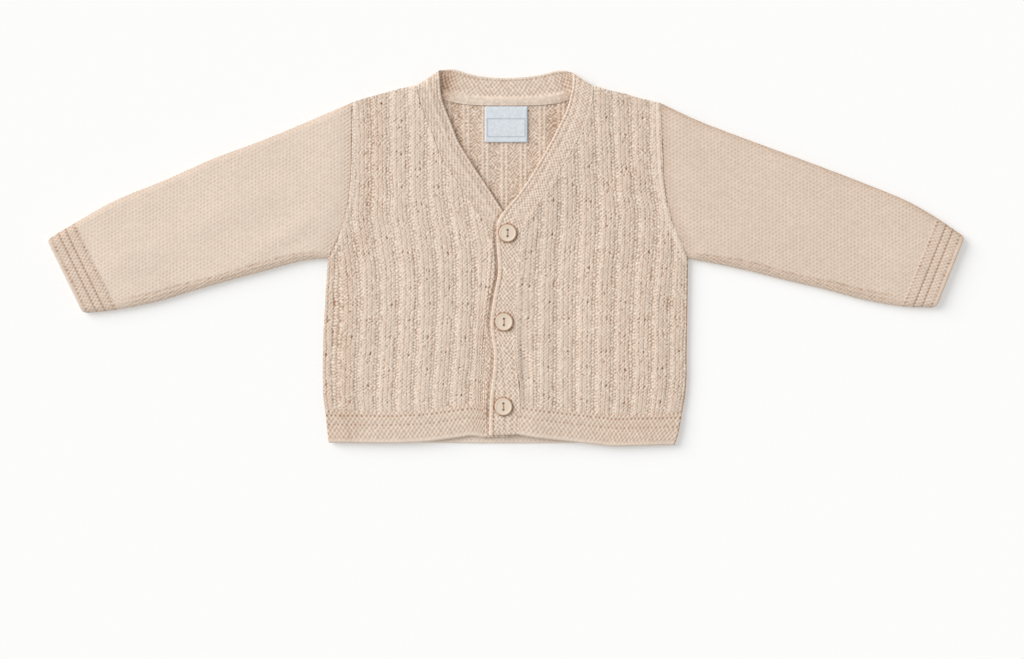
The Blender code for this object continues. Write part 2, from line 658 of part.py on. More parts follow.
def build_label(collection):
    """The woven label on the back panel's inside, its lower corners curling up a little."""
    across, up = np.meshgrid(np.linspace(-1.0, 1.0, 7), np.linspace(0.0, 1.0, 5))
    x = across * LABEL_WIDTH / 2
    y = LABEL_TOP - LABEL_HEIGHT * (1 - up)
    z = BACK_WALL + LAYER_GAP + LABEL_CURL * np.abs(across) ** 3 * (1 - up) ** 2
    points = np.stack([x, y, z], axis=-1)
    wall = np.full(z.shape, LABEL_WALL)
    cloth_object("label", points, wall, LABEL_WALL, collection)


def button_hole(name, x, cutters):
    """A round cutter through the whole button."""
    mesh = bpy.data.meshes.new(name)
    shape = bmesh.new()
    radius = BUTTON_HOLE / 2 * MM
    bmesh.ops.create_cone(shape, cap_ends=True, segments=BUTTON_HOLE_SIDES, radius1=radius,
                          radius2=radius, depth=4 * BUTTON_HEIGHT * MM)
    shape.to_mesh(mesh)
    shape.free()
    cutter = bpy.data.objects.new(name, mesh)
    cutters.objects.link(cutter)
    cutter.location.x = x * MM
    cutter.hide_render = True
    cutter.display_type = "WIRE"
    return cutter


def button_mesh(cutters):
    """A turned button with a raised round rim, a dished middle and two holes."""
    radius = BUTTON_DIAMETER / 2 * MM
    height = BUTTON_HEIGHT * MM
    mesh = bpy.data.meshes.new("button_profile")
    points = [(out * radius, 0.0, up * height) for out, up in BUTTON_PROFILE]
    edges = [(index, index + 1) for index in range(len(points) - 1)]
    mesh.from_pydata(points, edges, [])
    turned = bpy.data.objects.new("button_turned", mesh)
    cutters.objects.link(turned)
    screw = turned.modifiers.new("turn", "SCREW")
    screw.steps = BUTTON_SIDES
    screw.render_steps = BUTTON_SIDES
    screw.use_merge_vertices = True
    screw.merge_threshold = 0.00001
    for number, way in enumerate((-1, 1)):
        cutter = button_hole(f"button_hole_{number + 1}", way * BUTTON_HOLE_SPACING / 2, cutters)
        cut = turned.modifiers.new(f"hole_{number + 1}", "BOOLEAN")
        cut.object = cutter
        cut.operation = "DIFFERENCE"
        cut.solver = "EXACT"
    bpy.context.view_layer.update()
    evaluated = turned.evaluated_get(bpy.context.evaluated_depsgraph_get())
    finished = bpy.data.meshes.new_from_object(evaluated)
    bpy.data.objects.remove(turned, do_unlink=True)
    return finished


def build_buttons(collection, cutters):
    """Three buttons lying on the band, their two holes one above the other."""
    finished = button_mesh(cutters)
    finished.materials.clear()
    finished.materials.append(make_material("button", FINISHES["button"]))
    level = BAND_LEFT[-1].level + BAND_WALL / 2 + LAYER_GAP
    for number, (x, y) in enumerate(BUTTON_PLACES):
        button = bpy.data.objects.new(f"button_{number + 1}", finished)
        button.location = (x * MM, (y - LAY_DEPTH / 2) * MM, level * MM)
        button.rotation_euler.z = math.pi / 2
        collection.objects.link(button)


def main():
    clear_scene()
    cardigan = new_collection("baby_cardigan")
    cutters = new_collection("cutters")
    build_back(cardigan)
    build_front("front_right", "right", cardigan)
    build_front("front_left", "left", cardigan)
    build_sleeve("sleeve_right", "right", cardigan)
    build_sleeve("sleeve_left", "left", cardigan)
    build_band(cardigan)
    build_label(cardigan)
    build_buttons(cardigan, cutters)


main()
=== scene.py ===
import math
import bpy
import numpy as np
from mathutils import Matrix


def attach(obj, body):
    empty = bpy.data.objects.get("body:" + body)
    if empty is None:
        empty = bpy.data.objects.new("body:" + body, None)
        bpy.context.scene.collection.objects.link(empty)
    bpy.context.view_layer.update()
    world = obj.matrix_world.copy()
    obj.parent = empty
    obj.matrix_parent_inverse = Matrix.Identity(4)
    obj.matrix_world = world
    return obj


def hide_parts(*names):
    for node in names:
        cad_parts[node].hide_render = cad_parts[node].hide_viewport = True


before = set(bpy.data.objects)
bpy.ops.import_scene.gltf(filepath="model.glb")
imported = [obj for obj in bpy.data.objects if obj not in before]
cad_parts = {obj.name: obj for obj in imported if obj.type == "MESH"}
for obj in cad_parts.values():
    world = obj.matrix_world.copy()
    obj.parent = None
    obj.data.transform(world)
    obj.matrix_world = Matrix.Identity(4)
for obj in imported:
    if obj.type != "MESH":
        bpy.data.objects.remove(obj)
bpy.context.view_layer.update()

mm = 0.001

garment = {
    "layDepth": 251.0,      # hem to neck
    "tallest": 246.0,       # rows of knit are laid out up to this height, and the outline ends them
    "topMargin": 0.25,      # no row comes nearer to the top edge than this
    "outlineMargin": 0.2,   # and no other grid line nearer to the outline
    "seamGap": 0.03,
    "seamStep": 1.5,        # steps along the seam where a front joins the band
    "layerGap": 0.3,
    "backWall": 2.0,
    "edgeRound": 1.0,       # how far in from an edge the cloth rounds off
    "edgeShare": 0.45,      # height of that edge, as a share of the wall
    "seamRound": 0.9,       # the same where two pieces are sewn together
    "seamShare": 0.95,
    "sharpAngle": 76.0,     # degrees, past which an edge isn't smoothed over
}
wayOf = {"left": 1.0, "right": -1.0}    # along x, to each side of the wearer

# Edges shared by several pieces
armhole = {             # x, y from the underarm up to the shoulder
    "left": ((121.2, 124.9), (117.6, 133.9), (113.5, 142.8), (108.5, 157.3), (105.2, 176.0),
             (104.1, 196.3), (103.5, 214.0), (103.0, 228.3)),
    "right": ((-118.4, 125.2), (-114.4, 133.2), (-108.9, 147.3), (-105.2, 162.7), (-103.5, 178.0),
              (-103.0, 192.0), (-102.8, 209.0), (-102.6, 228.8)),
}
shoulder = {            # x, y from the armhole in to the neck
    "left": ((103.0, 228.3), (88.7, 231.7), (80.0, 234.4), (67.3, 237.2), (59.0, 239.8)),
    "right": ((-102.6, 228.8), (-94.0, 231.6), (-83.3, 234.5), (-74.0, 237.1), (-60.2, 240.2)),
}
sideEdge = {            # x, y from the hem up to the underarm
    "left": ((112.0, 0.0), (114.8, 9.0), (116.8, 20.0), (118.8, 31.0), (120.0, 42.0), (120.2, 63.0),
             (120.7, 90.0), (121.2, 126.0)),
    "right": ((-117.8, 0.0), (-118.8, 9.0), (-120.0, 21.0), (-121.6, 33.0), (-122.0, 50.0),
              (-121.6, 72.0), (-120.2, 98.0), (-118.4, 126.0)),
}
hemEdge = {             # x, y along each lower edge
    "left": ((9.0, 7.8), (20.0, 5.8), (38.7, 3.6), (57.3, 1.6), (76.0, 0.0), (121.2, 0.9)),
    "right": ((-122.0, 2.4), (-59.0, 2.6), (-33.0, 5.6), (-23.0, 6.9), (-10.7, 5.7)),
    "back": ((-122.0, 2.9), (-59.0, 2.4), (0.0, 2.0), (57.0, 2.2), (121.2, 2.8)),
}
# Band sections: seam edge x, y, free edge x, y, level of the wall's middle
bandRight = (
    (-14.2, 5.9, 1.5, 6.2, 3.8), (-14.0, 30.0, 1.8, 30.0, 3.8), (-14.0, 55.0, 2.0, 55.0, 3.8),
    (-12.0, 96.0, 3.2, 96.0, 3.8), (-8.9, 128.0, 5.6, 127.0, 3.8), (-10.4, 143.5, 3.2, 147.0, 3.8),
    (-18.1, 155.0, -5.9, 162.7, 3.8), (-33.3, 178.0, -21.0, 185.6, 3.9),
    (-44.0, 195.0, -31.4, 202.4, 4.0), (-49.7, 210.4, -36.3, 214.5, 4.2),
    (-54.3, 221.3, -40.4, 224.8, 4.4), (-57.3, 230.7, -43.0, 233.0, 4.6),
    (-59.0, 237.6, -44.0, 243.5, 4.6),
)
bandNeck = (
    (-59.2, 240.2, -44.4, 249.9, 2.8), (-56.2, 238.2, -41.0, 250.6, 1.6),
    (-48.5, 233.8, -37.5, 251.0, 1.2), (-41.3, 230.7, -33.3, 250.7, 1.0),
    (-29.3, 227.9, -24.5, 247.8, 1.0), (-15.0, 226.9, -12.0, 245.8, 1.0),
    (0.0, 226.7, 0.0, 245.2, 1.0), (15.0, 226.9, 12.5, 245.9, 1.0), (28.7, 227.7, 24.5, 247.6, 1.0),
    (41.0, 230.2, 34.0, 250.1, 1.0), (48.2, 233.6, 38.0, 250.2, 1.2),
    (55.3, 237.6, 41.5, 249.6, 1.6), (58.0, 239.7, 44.2, 248.4, 2.8),
)
bandLeft = (
    (57.9, 237.2, 44.4, 242.6, 4.6), (57.2, 229.5, 42.6, 232.0, 4.6), (54.7, 219.3, 39.9, 222.8, 4.7),
    (50.5, 209.6, 36.2, 215.2, 4.9), (44.0, 197.3, 31.0, 205.0, 5.2), (36.0, 184.0, 23.4, 191.4, 5.6),
    (26.5, 168.5, 14.5, 176.6, 6.0), (18.3, 157.5, 6.2, 165.2, 6.2), (12.6, 149.8, -0.8, 157.2, 6.3),
    (9.6, 142.0, -5.6, 149.3, 6.3), (8.9, 134.0, -6.3, 137.5, 6.3), (7.4, 118.0, -5.2, 119.0, 6.3),
    (6.0, 96.0, -8.7, 96.5, 6.3), (5.4, 81.0, -10.4, 82.0, 6.3), (6.4, 58.0, -8.0, 59.0, 6.3),
    (9.2, 30.0, -10.7, 30.0, 6.3), (8.7, 8.0, -11.2, 7.0, 6.3),
)
# Sleeve sections from near the armhole to the cuff's edge: upper edge x, y, lower edge x, y
sleeveSections = {
    "left": ((128.0, 216.7, 137.0, 121.9), (161.3, 204.0, 160.0, 117.0), (197.3, 190.7, 186.0, 110.5),
             (232.7, 177.3, 212.0, 104.4), (265.3, 164.0, 240.0, 97.0), (286.0, 152.4, 264.0, 93.0),
             (305.2, 139.4, 286.2, 92.2)),
    "right": ((-130.7, 216.7, -136.0, 123.2), (-161.3, 204.0, -158.0, 117.3),
              (-196.7, 190.7, -182.0, 110.8), (-226.7, 177.3, -206.0, 104.0),
              (-259.3, 164.0, -233.0, 95.9), (-285.0, 149.8, -259.6, 90.7),
              (-305.4, 137.4, -281.5, 88.5)),
}
# Soft folds: centre x, y, direction in degrees, half length, half width, height
folds = {
    "frontLeft": ((13.0, 48.0, 92, 26, 4.0, -1.3), (24.0, 60.0, 88, 45, 7.0, 0.7),
                  (64.0, 96.0, 84, 60, 12.0, 0.6), (100.0, 70.0, 97, 48, 10.0, 0.5),
                  (84.0, 176.0, 70, 38, 9.0, 0.6)),
    "frontRight": ((-21.0, 64.0, 92, 52, 8.0, 0.7), (-57.0, 92.0, 96, 58, 11.0, 0.6),
                   (-98.0, 78.0, 84, 46, 10.0, 0.5), (-80.0, 178.0, 108, 36, 9.0, 0.6)),
    "sleeveLeft": ((148.0, 140.0, -30, 26, 7.0, 0.8), (196.0, 150.0, -24, 42, 10.0, 0.6),
                   (262.0, 122.0, -24, 22, 8.0, 0.5)),
    "sleeveRight": ((-146.0, 141.0, 30, 26, 7.0, 0.8), (-194.0, 150.0, 24, 42, 10.0, 0.6),
                    (-258.0, 120.0, 26, 22, 8.0, 0.5)),
}


def columnsOf(rows):
    return [np.array(column, float) for column in zip(*rows)]


def runOf(line):
    # distance along a broken line to each of its points; line has a row for each coordinate
    return np.concatenate(([0.0], np.cumsum(np.linalg.norm(np.diff(line), axis=0))))


def smoothCurve(knots, values, at):
    # cubic through the knots whose slopes never overshoot, level past both ends
    knots = np.asarray(knots, float)
    values = np.asarray(values, float)
    chord = np.diff(values) / np.diff(knots)
    slope = np.concatenate(([chord[0]], (chord[1:] + chord[:-1]) / 2, [chord[-1]]))
    turning = np.concatenate(([False], chord[1:] * chord[:-1] <= 0, [False]))
    slope[turning] = 0.0
    at = np.clip(np.asarray(at, float), knots[0], knots[-1])
    cell = np.clip(np.searchsorted(knots, at, side="right") - 1, 0, len(knots) - 2)
    width = knots[cell + 1] - knots[cell]
    t = (at - knots[cell]) / width
    rise = values[cell + 1] - values[cell]
    first = slope[cell] * width
    last = slope[cell + 1] * width
    square = (3 * rise - 2 * first - last) * t**2
    return values[cell] + first * t + square + (first + last - 2 * rise) * t**3


def evenLine(x, y, count):
    # the smooth line through the points, at even steps along their chords
    knots = runOf(np.stack([x, y]))
    at = np.linspace(0.0, knots[-1], count)
    return smoothCurve(knots, x, at), smoothCurve(knots, y, at)


def movedAside(x, y, gap):
    # a line moved to the right of its own direction, or to the left where the gap is negative
    run = np.stack([np.gradient(x), np.gradient(y)])
    run /= np.linalg.norm(run, axis=0)
    return x + gap * run[1], y - gap * run[0]


def smoothStep(low, high, at):
    # 0 at low, 1 at high, eased between them; low may be the larger
    t = np.clip((np.asarray(at, float) - low) / (high - low), 0.0, 1.0)
    return t * t * (3 - 2 * t)


def bell(at, width):
    # 1 at 0, falling to about a third at width on either side
    return np.exp(-((at / width) ** 2))


def distanceTo(lineX, lineY, x, y):
    # least distance from each point to a broken line
    best = np.full(x.shape, 1e6)
    for ax, ay, bx, by in zip(lineX[:-1], lineY[:-1], lineX[1:], lineY[1:]):
        runX = bx - ax
        runY = by - ay
        share = np.clip(((x - ax) * runX + (y - ay) * runY) / (runX**2 + runY**2), 0.0, 1.0)
        best = np.minimum(best, np.hypot(x - ax - share * runX, y - ay - share * runY))
    return best


def foldHeight(x, y, rows):
    # sum of soft ridges and troughs, each a bell across its width and along its length
    height = np.zeros_like(x)
    for foldX, foldY, angle, length, width, rise in rows:
        turn = math.radians(angle)
        along = (x - foldX) * math.cos(turn) + (y - foldY) * math.sin(turn)
        across = (y - foldY) * math.cos(turn) - (x - foldX) * math.sin(turn)
        height += rise * bell(along, length) * bell(across, width)
    return height


def softNoise(x, y, size, seed):
    # uneven field from -1 to 1: random values on a square net, eased between its points
    net = np.random.default_rng(seed).uniform(-1.0, 1.0, (256, 256))
    netX = x / size + 1000.0
    netY = y / size + 1000.0
    i = np.floor(netX).astype(int)
    j = np.floor(netY).astype(int)
    s = smoothStep(0.0, 1.0, netX - i)
    t = smoothStep(0.0, 1.0, netY - j)
    i0, i1, j0, j1 = i % 256, (i + 1) % 256, j % 256, (j + 1) % 256
    lower = net[i0, j0] * (1 - s) + net[i1, j0] * s
    upper = net[i0, j1] * (1 - s) + net[i1, j1] * s
    return lower * (1 - t) + upper * t


def stitchNoise(first, second, seed):
    # one random value from -1 to 1 for each stitch of a net of stitches
    net = np.random.default_rng(seed).uniform(-1.0, 1.0, (256, 256))
    return net[np.floor(first).astype(int) % 256, np.floor(second).astype(int) % 256]


def plainKnit(wale, course, slant):
    # stocking stitch: each wale is two yarns that rise outwards from its middle as a V, each a hump across
    # its width, and a row of grains along the wale, one a course
    across = np.abs((wale + 0.5) % 1.0 - 0.5)
    yarn = np.clip(1 - ((across - 0.25) / 0.25) ** 2, 0.0, 1.0)
    grain = 0.5 + 0.5 * np.cos(2 * np.pi * (course - slant * 2 * across))
    return (0.25 + 0.75 * yarn**0.6) * (0.3 + 0.7 * grain**0.8)


def mossKnit(along, row):
    # moss stitch: a bump at every second place of each row, the rows between them half a stitch over, as
    # the product of one cosine along the rows and one across them
    wave = 0.5 + 0.5 * np.cos(2 * np.pi * along) * np.cos(np.pi * row)
    return wave**0.9


def seedKnit(x, y, pitch, wander, seed):
    # small light seeds half a place over in each row, each moved a little off its place
    movedX = x + wander * softNoise(x, y, 1.2 * pitch, seed)
    movedY = y + wander * softNoise(x, y, 1.2 * pitch, seed + 1)
    return mossKnit(movedX / pitch, movedY / pitch * 2)


def edgeProfile(distance, reach, share):
    # quarter round from share of the wall at the edge to the whole wall at reach
    inside = np.clip(distance / reach, 0.0, 1.0)
    return share + (1 - share) * np.sqrt(1 - (1 - inside) ** 2)


def tidyFace(face):
    # a face without the corners that repeat, or nothing where fewer than three are left
    kept = [corner for place, corner in enumerate(face) if corner != face[place - 1]]
    return kept if len(kept) > 2 else None


def makeShell(name, points, low, high, underZ, rowStep, layers, mouth=None):
    # Closed shell of cloth. The upper face is a grid of rows and columns, each column kept between its
    # first and last row, so that the grid ends on the piece's outline. The under face has the same
    # columns with few rows. layers are values at each point of the grid, as attributes or the UV map.
    # mouth is a list of loops that lead from the first column in under the upper face and back out.
    rows, columns = points.shape[:2]
    columnAt = np.arange(columns)
    ids = np.clip(np.arange(rows)[:, None], low, high) * columns + columnAt
    a, b, c, d = ids[:-1, :-1], ids[:-1, 1:], ids[1:, 1:], ids[1:, :-1]
    startGone = a == d
    endGone = b == c
    faces = np.stack([a, b, c, d], -1)[~startGone & ~endGone].tolist()
    faces += np.stack([a, b, c], -1)[startGone & ~endGone].tolist()
    faces += np.stack([a, b, d], -1)[endGone & ~startGone].tolist()

    inset = 2       # the under face's own rows keep this many rows clear of the outline
    lowIn = np.minimum(low + inset, (low + high) // 2)
    highIn = np.maximum(high - inset, lowIn)
    lines = list(range(0, rows - 1, rowStep)) + [rows - 1]
    underRow = np.array([low] + [np.clip(line, lowIn, highIn) for line in lines] + [high])
    layerSize = rows * columns
    inner = (underRow > low) & (underRow < high)
    inner[:, 0] = inner[:, -1] = False
    under = underRow * columns + columnAt + np.where(inner, layerSize, 0)
    coordinates = [points.reshape(-1, 3)]
    flatUnder = points.copy()
    flatUnder[..., 2] = underZ
    coordinates.append(flatUnder.reshape(-1, 3))
    startIds = ids[:, 0]
    sources = [np.arange(layerSize), np.arange(layerSize)]

    if mouth:
        ends = (np.arange(rows) <= low[0]) | (np.arange(rows) >= high[0])
        loops = [startIds]
        for number, loop in enumerate(mouth):
            coordinates.append(loop)
            sources.append(ids[:, 0])
            loops.append(np.where(ends, startIds, 2 * layerSize + number * rows + np.arange(rows)))
        for upper, lower in zip(loops[:-1], loops[1:]):
            for row in range(low[0], high[0]):
                face = tidyFace([upper[row], upper[row + 1], lower[row + 1], lower[row]])
                if face:
                    faces.append(face)
        startIds = loops[-1]
        under[:, 0] = startIds[underRow[:, 0]]

    for line in range(len(underRow) - 1):
        for column in range(columns - 1):
            face = [under[line, column]]
            if column == 0:
                face = list(startIds[underRow[line, 0]:underRow[line + 1, 0] + 1])
            else:
                face.append(under[line + 1, column])
            if column == columns - 2:
                face += list(ids[underRow[line, -1]:underRow[line + 1, -1] + 1, -1][::-1])
            else:
                face += [under[line + 1, column + 1], under[line, column + 1]]
            face = tidyFace(face)
            if face:
                faces.append(face)

    coordinates = np.concatenate(coordinates)
    sources = np.concatenate(sources)
    used, flat = np.unique(np.concatenate([np.asarray(face) for face in faces]), return_inverse=True)
    counts = [len(face) for face in faces]
    starts = np.concatenate(([0], np.cumsum(counts)[:-1]))
    alongRow = np.diff(points[:-1, :, :2], axis=1)
    upColumn = np.diff(points[:, :-1, :2], axis=0)
    upwards = (alongRow[..., 0] * upColumn[..., 1] - alongRow[..., 1] * upColumn[..., 0]).sum() > 0
    lists = [flat[start:start + count].tolist() for start, count in zip(starts, counts)]
    if not upwards:
        lists = [face[::-1] for face in lists]
    kept = coordinates[used]
    kept[:, 1] -= garment["layDepth"] / 2
    mesh = bpy.data.meshes.new(name)
    mesh.from_pydata((kept * mm).tolist(), [], lists)
    mesh.shade_smooth()
    mesh.set_sharp_from_angle(angle=math.radians(garment["sharpAngle"]))
    source = sources[used]
    onTop = used < layerSize
    corner = np.empty(len(mesh.loops), int)
    mesh.loops.foreach_get("vertex_index", corner)
    for layer, values in layers.items():
        if layer == "uv":
            flatUv = np.stack([value.ravel()[source] for value in values], -1)[corner] * mm
            mesh.uv_layers.new(name="knitUv").data.foreach_set("uv", flatUv.astype(np.float32).ravel())
        else:
            value = np.where(onTop, values.ravel()[source], 0.0)
            mesh.attributes.new(layer, "FLOAT", "POINT").data.foreach_set("value", value.astype(np.float32))
    piece = bpy.data.objects.new(name, mesh)
    bpy.context.scene.collection.objects.link(piece)
    print(name, len(kept), "points")
    return piece


def bandCourse(step):
    # edges and level of the band at even steps along the middle line of its whole length
    seamX, seamY, freeX, freeY, level = columnsOf(bandRight + bandNeck + bandLeft)
    knots = runOf(np.stack([(seamX + freeX) / 2, (seamY + freeY) / 2, level]))
    stations = np.linspace(0.0, knots[-1], int(round(knots[-1] / step)) + 1)
    edges = [smoothCurve(knots, column, stations) for column in (seamX, seamY, freeX, freeY, level)]
    return stations, edges, knots[len(bandRight)], knots[len(bandRight) + len(bandNeck) - 1]


def frontSeam(side):
    # the band's seam edge on one front, from hem to shoulder, moved out by the seam gap
    stations, (seamX, seamY, _, _, level), neckStart, neckEnd = bandCourse(garment["seamStep"])
    onFront = stations < neckStart if side == "right" else stations > neckEnd
    x = seamX[onFront]
    y = seamY[onFront]
    height = level[onFront]
    if side == "left":
        x, y, height = x[::-1], y[::-1], height[::-1]
    x, y = movedAside(x, y, wayOf[side] * garment["seamGap"])
    return x, y, height


# Fronts: ribs of four wales with pairs of eyelets, gutters of bumps between them, a moss-stitch hem
frontKnit = {
    "ribPitch": 12.67,
    "firstRib": {"left": 25.6, "right": 16.6},
    "waleWidth": 3.1675,        # four wales a rib
    "courseHeight": 2.23,
    "columnsPerWale": 6,
    "rowsPerCourse": 4,
    "underStep": 20,            # rows of the upper face to one of the under face
    "slant": 0.75,
    "wall": 1.45,               # gutter wall under its bumps
    "ribHalf": (3.5, 4.7),      # where a rib begins and ends to fall to the gutter
    "ribRise": 0.2,
    "stitchRise": 0.42,
    "seedPitch": 2.6,           # light seeds that roughen the knit, and how far they stray
    "seedStray": 1.0,
    "calmHalf": 3.2,            # half width of the smooth ovals up a rib
    "calmFrom": (3.5, 7.0),     # where they begin and are whole, up or down from a pair of eyelets
    "ovalHalf": (2.8, 5.0),     # half width and half height of their swell
    "ovalRise": 0.2,
    "bumpColumns": (-1.15, 1.15),
    "bumpHalf": 0.82,
    "bumpStray": (0.5, 0.3),    # across, and up in stitches
    "sway": (0.4, 13.0),        # how far the ribs wander, over what length
    # height up the front, and how far out the ribs lie beside the band and beside the armhole
    "drift": {
        "left": ((0, 1.3, 2.4), (90, 1.8, 2.0), (125, 2.6, 4.2), (150, 4.0, 5.4), (175, 4.5, 2.0),
                 (200, 4.0, -0.4), (230, 2.0, -0.4)),
        "right": ((30, 1.8, -2.6), (60, -0.3, -3.6), (90, -1.9, -4.2), (115, -2.4, -2.3),
                  (140, -0.7, 2.0), (155, 2.0, 4.0), (180, 4.8, 2.8), (205, 5.0, 2.4), (230, 4.5, 4.0)),
    },
    "driftSpan": (37.0, 101.0),
    "driftEnd": 16.0,           # the drift dies out over this width beside the side seam
    "eyeletRise": 22.3,         # from one pair of eyelets to the next up a rib
    "eyeletPhase": {"left": 6.7, "right": 16.4},
    # across, up and strength: the gaps of a pair, of which the right one is deeper, and one below them
    "eyeletPlaces": ((1.8, 0.0, 1.0), (-1.8, 0.4, 0.45), (-0.3, -5.6, 0.6)),
    "eyeletStray": (0.45, 0.8),
    "eyeletRadius": (0.95, 0.3),        # where a gap begins, and where it is whole
    "eyeletDepth": 0.85,
    "hemHeight": 20.5,
    "hemEase": 75.0,            # the hem's own curve has died out at this height
    "hemWall": 2.1,
    "hemRise": 0.38,
    "hemAlong": 2.87,
    "hemRow": 2.0,
    "hemRim": (3.0, 1.8),       # the lowest edge is smoother from here down
    "hemGrooves": ((12.0, 0.6), (18.0, 1.0)),   # height and strength
    "hemGrooveHalf": 0.7,
    "slopeFrom": 141.0,         # height at which the slope of the neck begins
    "pullReach": 7.0,           # how far in from the band the wales bend with its seam
    "bandReach": 22.0,          # and how far in the front is held at the band's level
    "lift": 0.9,                # how far a front stands off the back
    "liftReach": 14.0,          # over what distance it rises to that from side and shoulder
    "creaseReach": 10.0,        # and its creases from the side
    "ridgeAt": 2.4,             # the ridge beside the armhole's seam: place, half width and height
    "ridgeHalf": 1.2,
    "ridgeHeight": 2.05,
    "bandRise": 0.75,           # how far the cloth rises to the band and to the sleeve
    "armRise": 0.4,
    "riseReach": 3.0,
}


def eyelets(knit, fromRib, rib, up, phase):
    # small gaps by pairs up each rib, the pairs of one rib between those of the next; each gap is a
    # little off its place, whole within its radius and gone a little past it
    pairAt = (up - phase - (rib % 2) * knit["eyeletRise"] / 2) / knit["eyeletRise"]
    pair = np.round(pairAt)
    fromPair = (pairAt - pair) * knit["eyeletRise"]
    strayX, strayY = knit["eyeletStray"]
    gaps = np.zeros_like(up)
    for number, (offX, offY, strength) in enumerate(knit["eyeletPlaces"]):
        shiftX = strayX * stitchNoise(rib, pair, 70 + number)
        shiftY = strayY * stitchNoise(rib, pair, 80 + number)
        amount = strength * (0.65 + 0.4 * stitchNoise(rib, pair, 90 + number))
        reach = np.hypot(fromRib - offX - shiftX, (fromPair - offY - shiftY) * 0.75)
        gaps = np.maximum(gaps, amount * smoothStep(*knit["eyeletRadius"], reach))
    return gaps, np.abs(fromPair)


def gutterBumps(across, up, fromRib, ribAt, course, knit):
    # two columns of round bumps between the ribs, half a stitch apart in height, each a little off its
    # place and size: the higher of two bells at each point
    fromGutter = np.where(fromRib > 0, fromRib - knit["ribPitch"] / 2, fromRib + knit["ribPitch"] / 2)
    strayX, strayY = knit["bumpStray"]
    bumps = np.zeros_like(up)
    for number, offset in enumerate(knit["bumpColumns"]):
        fromColumn = fromGutter - offset + strayX * softNoise(across, up, 1.8, 7)
        row = course + number / 2 + strayY * softNoise(across, up, 1.8, 8)
        fromRow = (row - np.round(row)) * knit["courseHeight"]
        size = 1.0 + 0.4 * stitchNoise(row + 0.5, np.floor(ribAt) * 3 + number, 12)
        bump = size * bell(fromColumn, knit["bumpHalf"]) * bell(fromRow, knit["bumpHalf"])
        bumps = np.maximum(bumps, bump)
    return bumps


def hemRelief(across, up, knit):
    # height, shade and tone of the hem: moss stitch with grooves along it and a smoother rim
    wander = 0.45 * softNoise(across, up, 3.0, 15)
    moss = mossKnit((across + wander) / knit["hemAlong"], up / knit["hemRow"])
    uneven = stitchNoise(across / knit["hemAlong"] * 2, up / knit["hemRow"], 13)
    groove = np.zeros_like(up)
    for place, strength in knit["hemGrooves"]:
        groove += strength * bell(up - place, knit["hemGrooveHalf"])
    rim = smoothStep(*knit["hemRim"], up)
    moss = moss * (1 - 0.6 * rim) * (1 + 0.2 * uneven) + rim * 0.4
    height = knit["hemWall"] + knit["hemRise"] * (moss - 0.5) - 0.25 * groove
    shade = np.clip(0.77 - moss * 0.7, 0.0, 1.0) * (1 - 0.3 * rim) + 0.4 * groove * (1 - moss)
    return height, shade, 0.3 * uneven


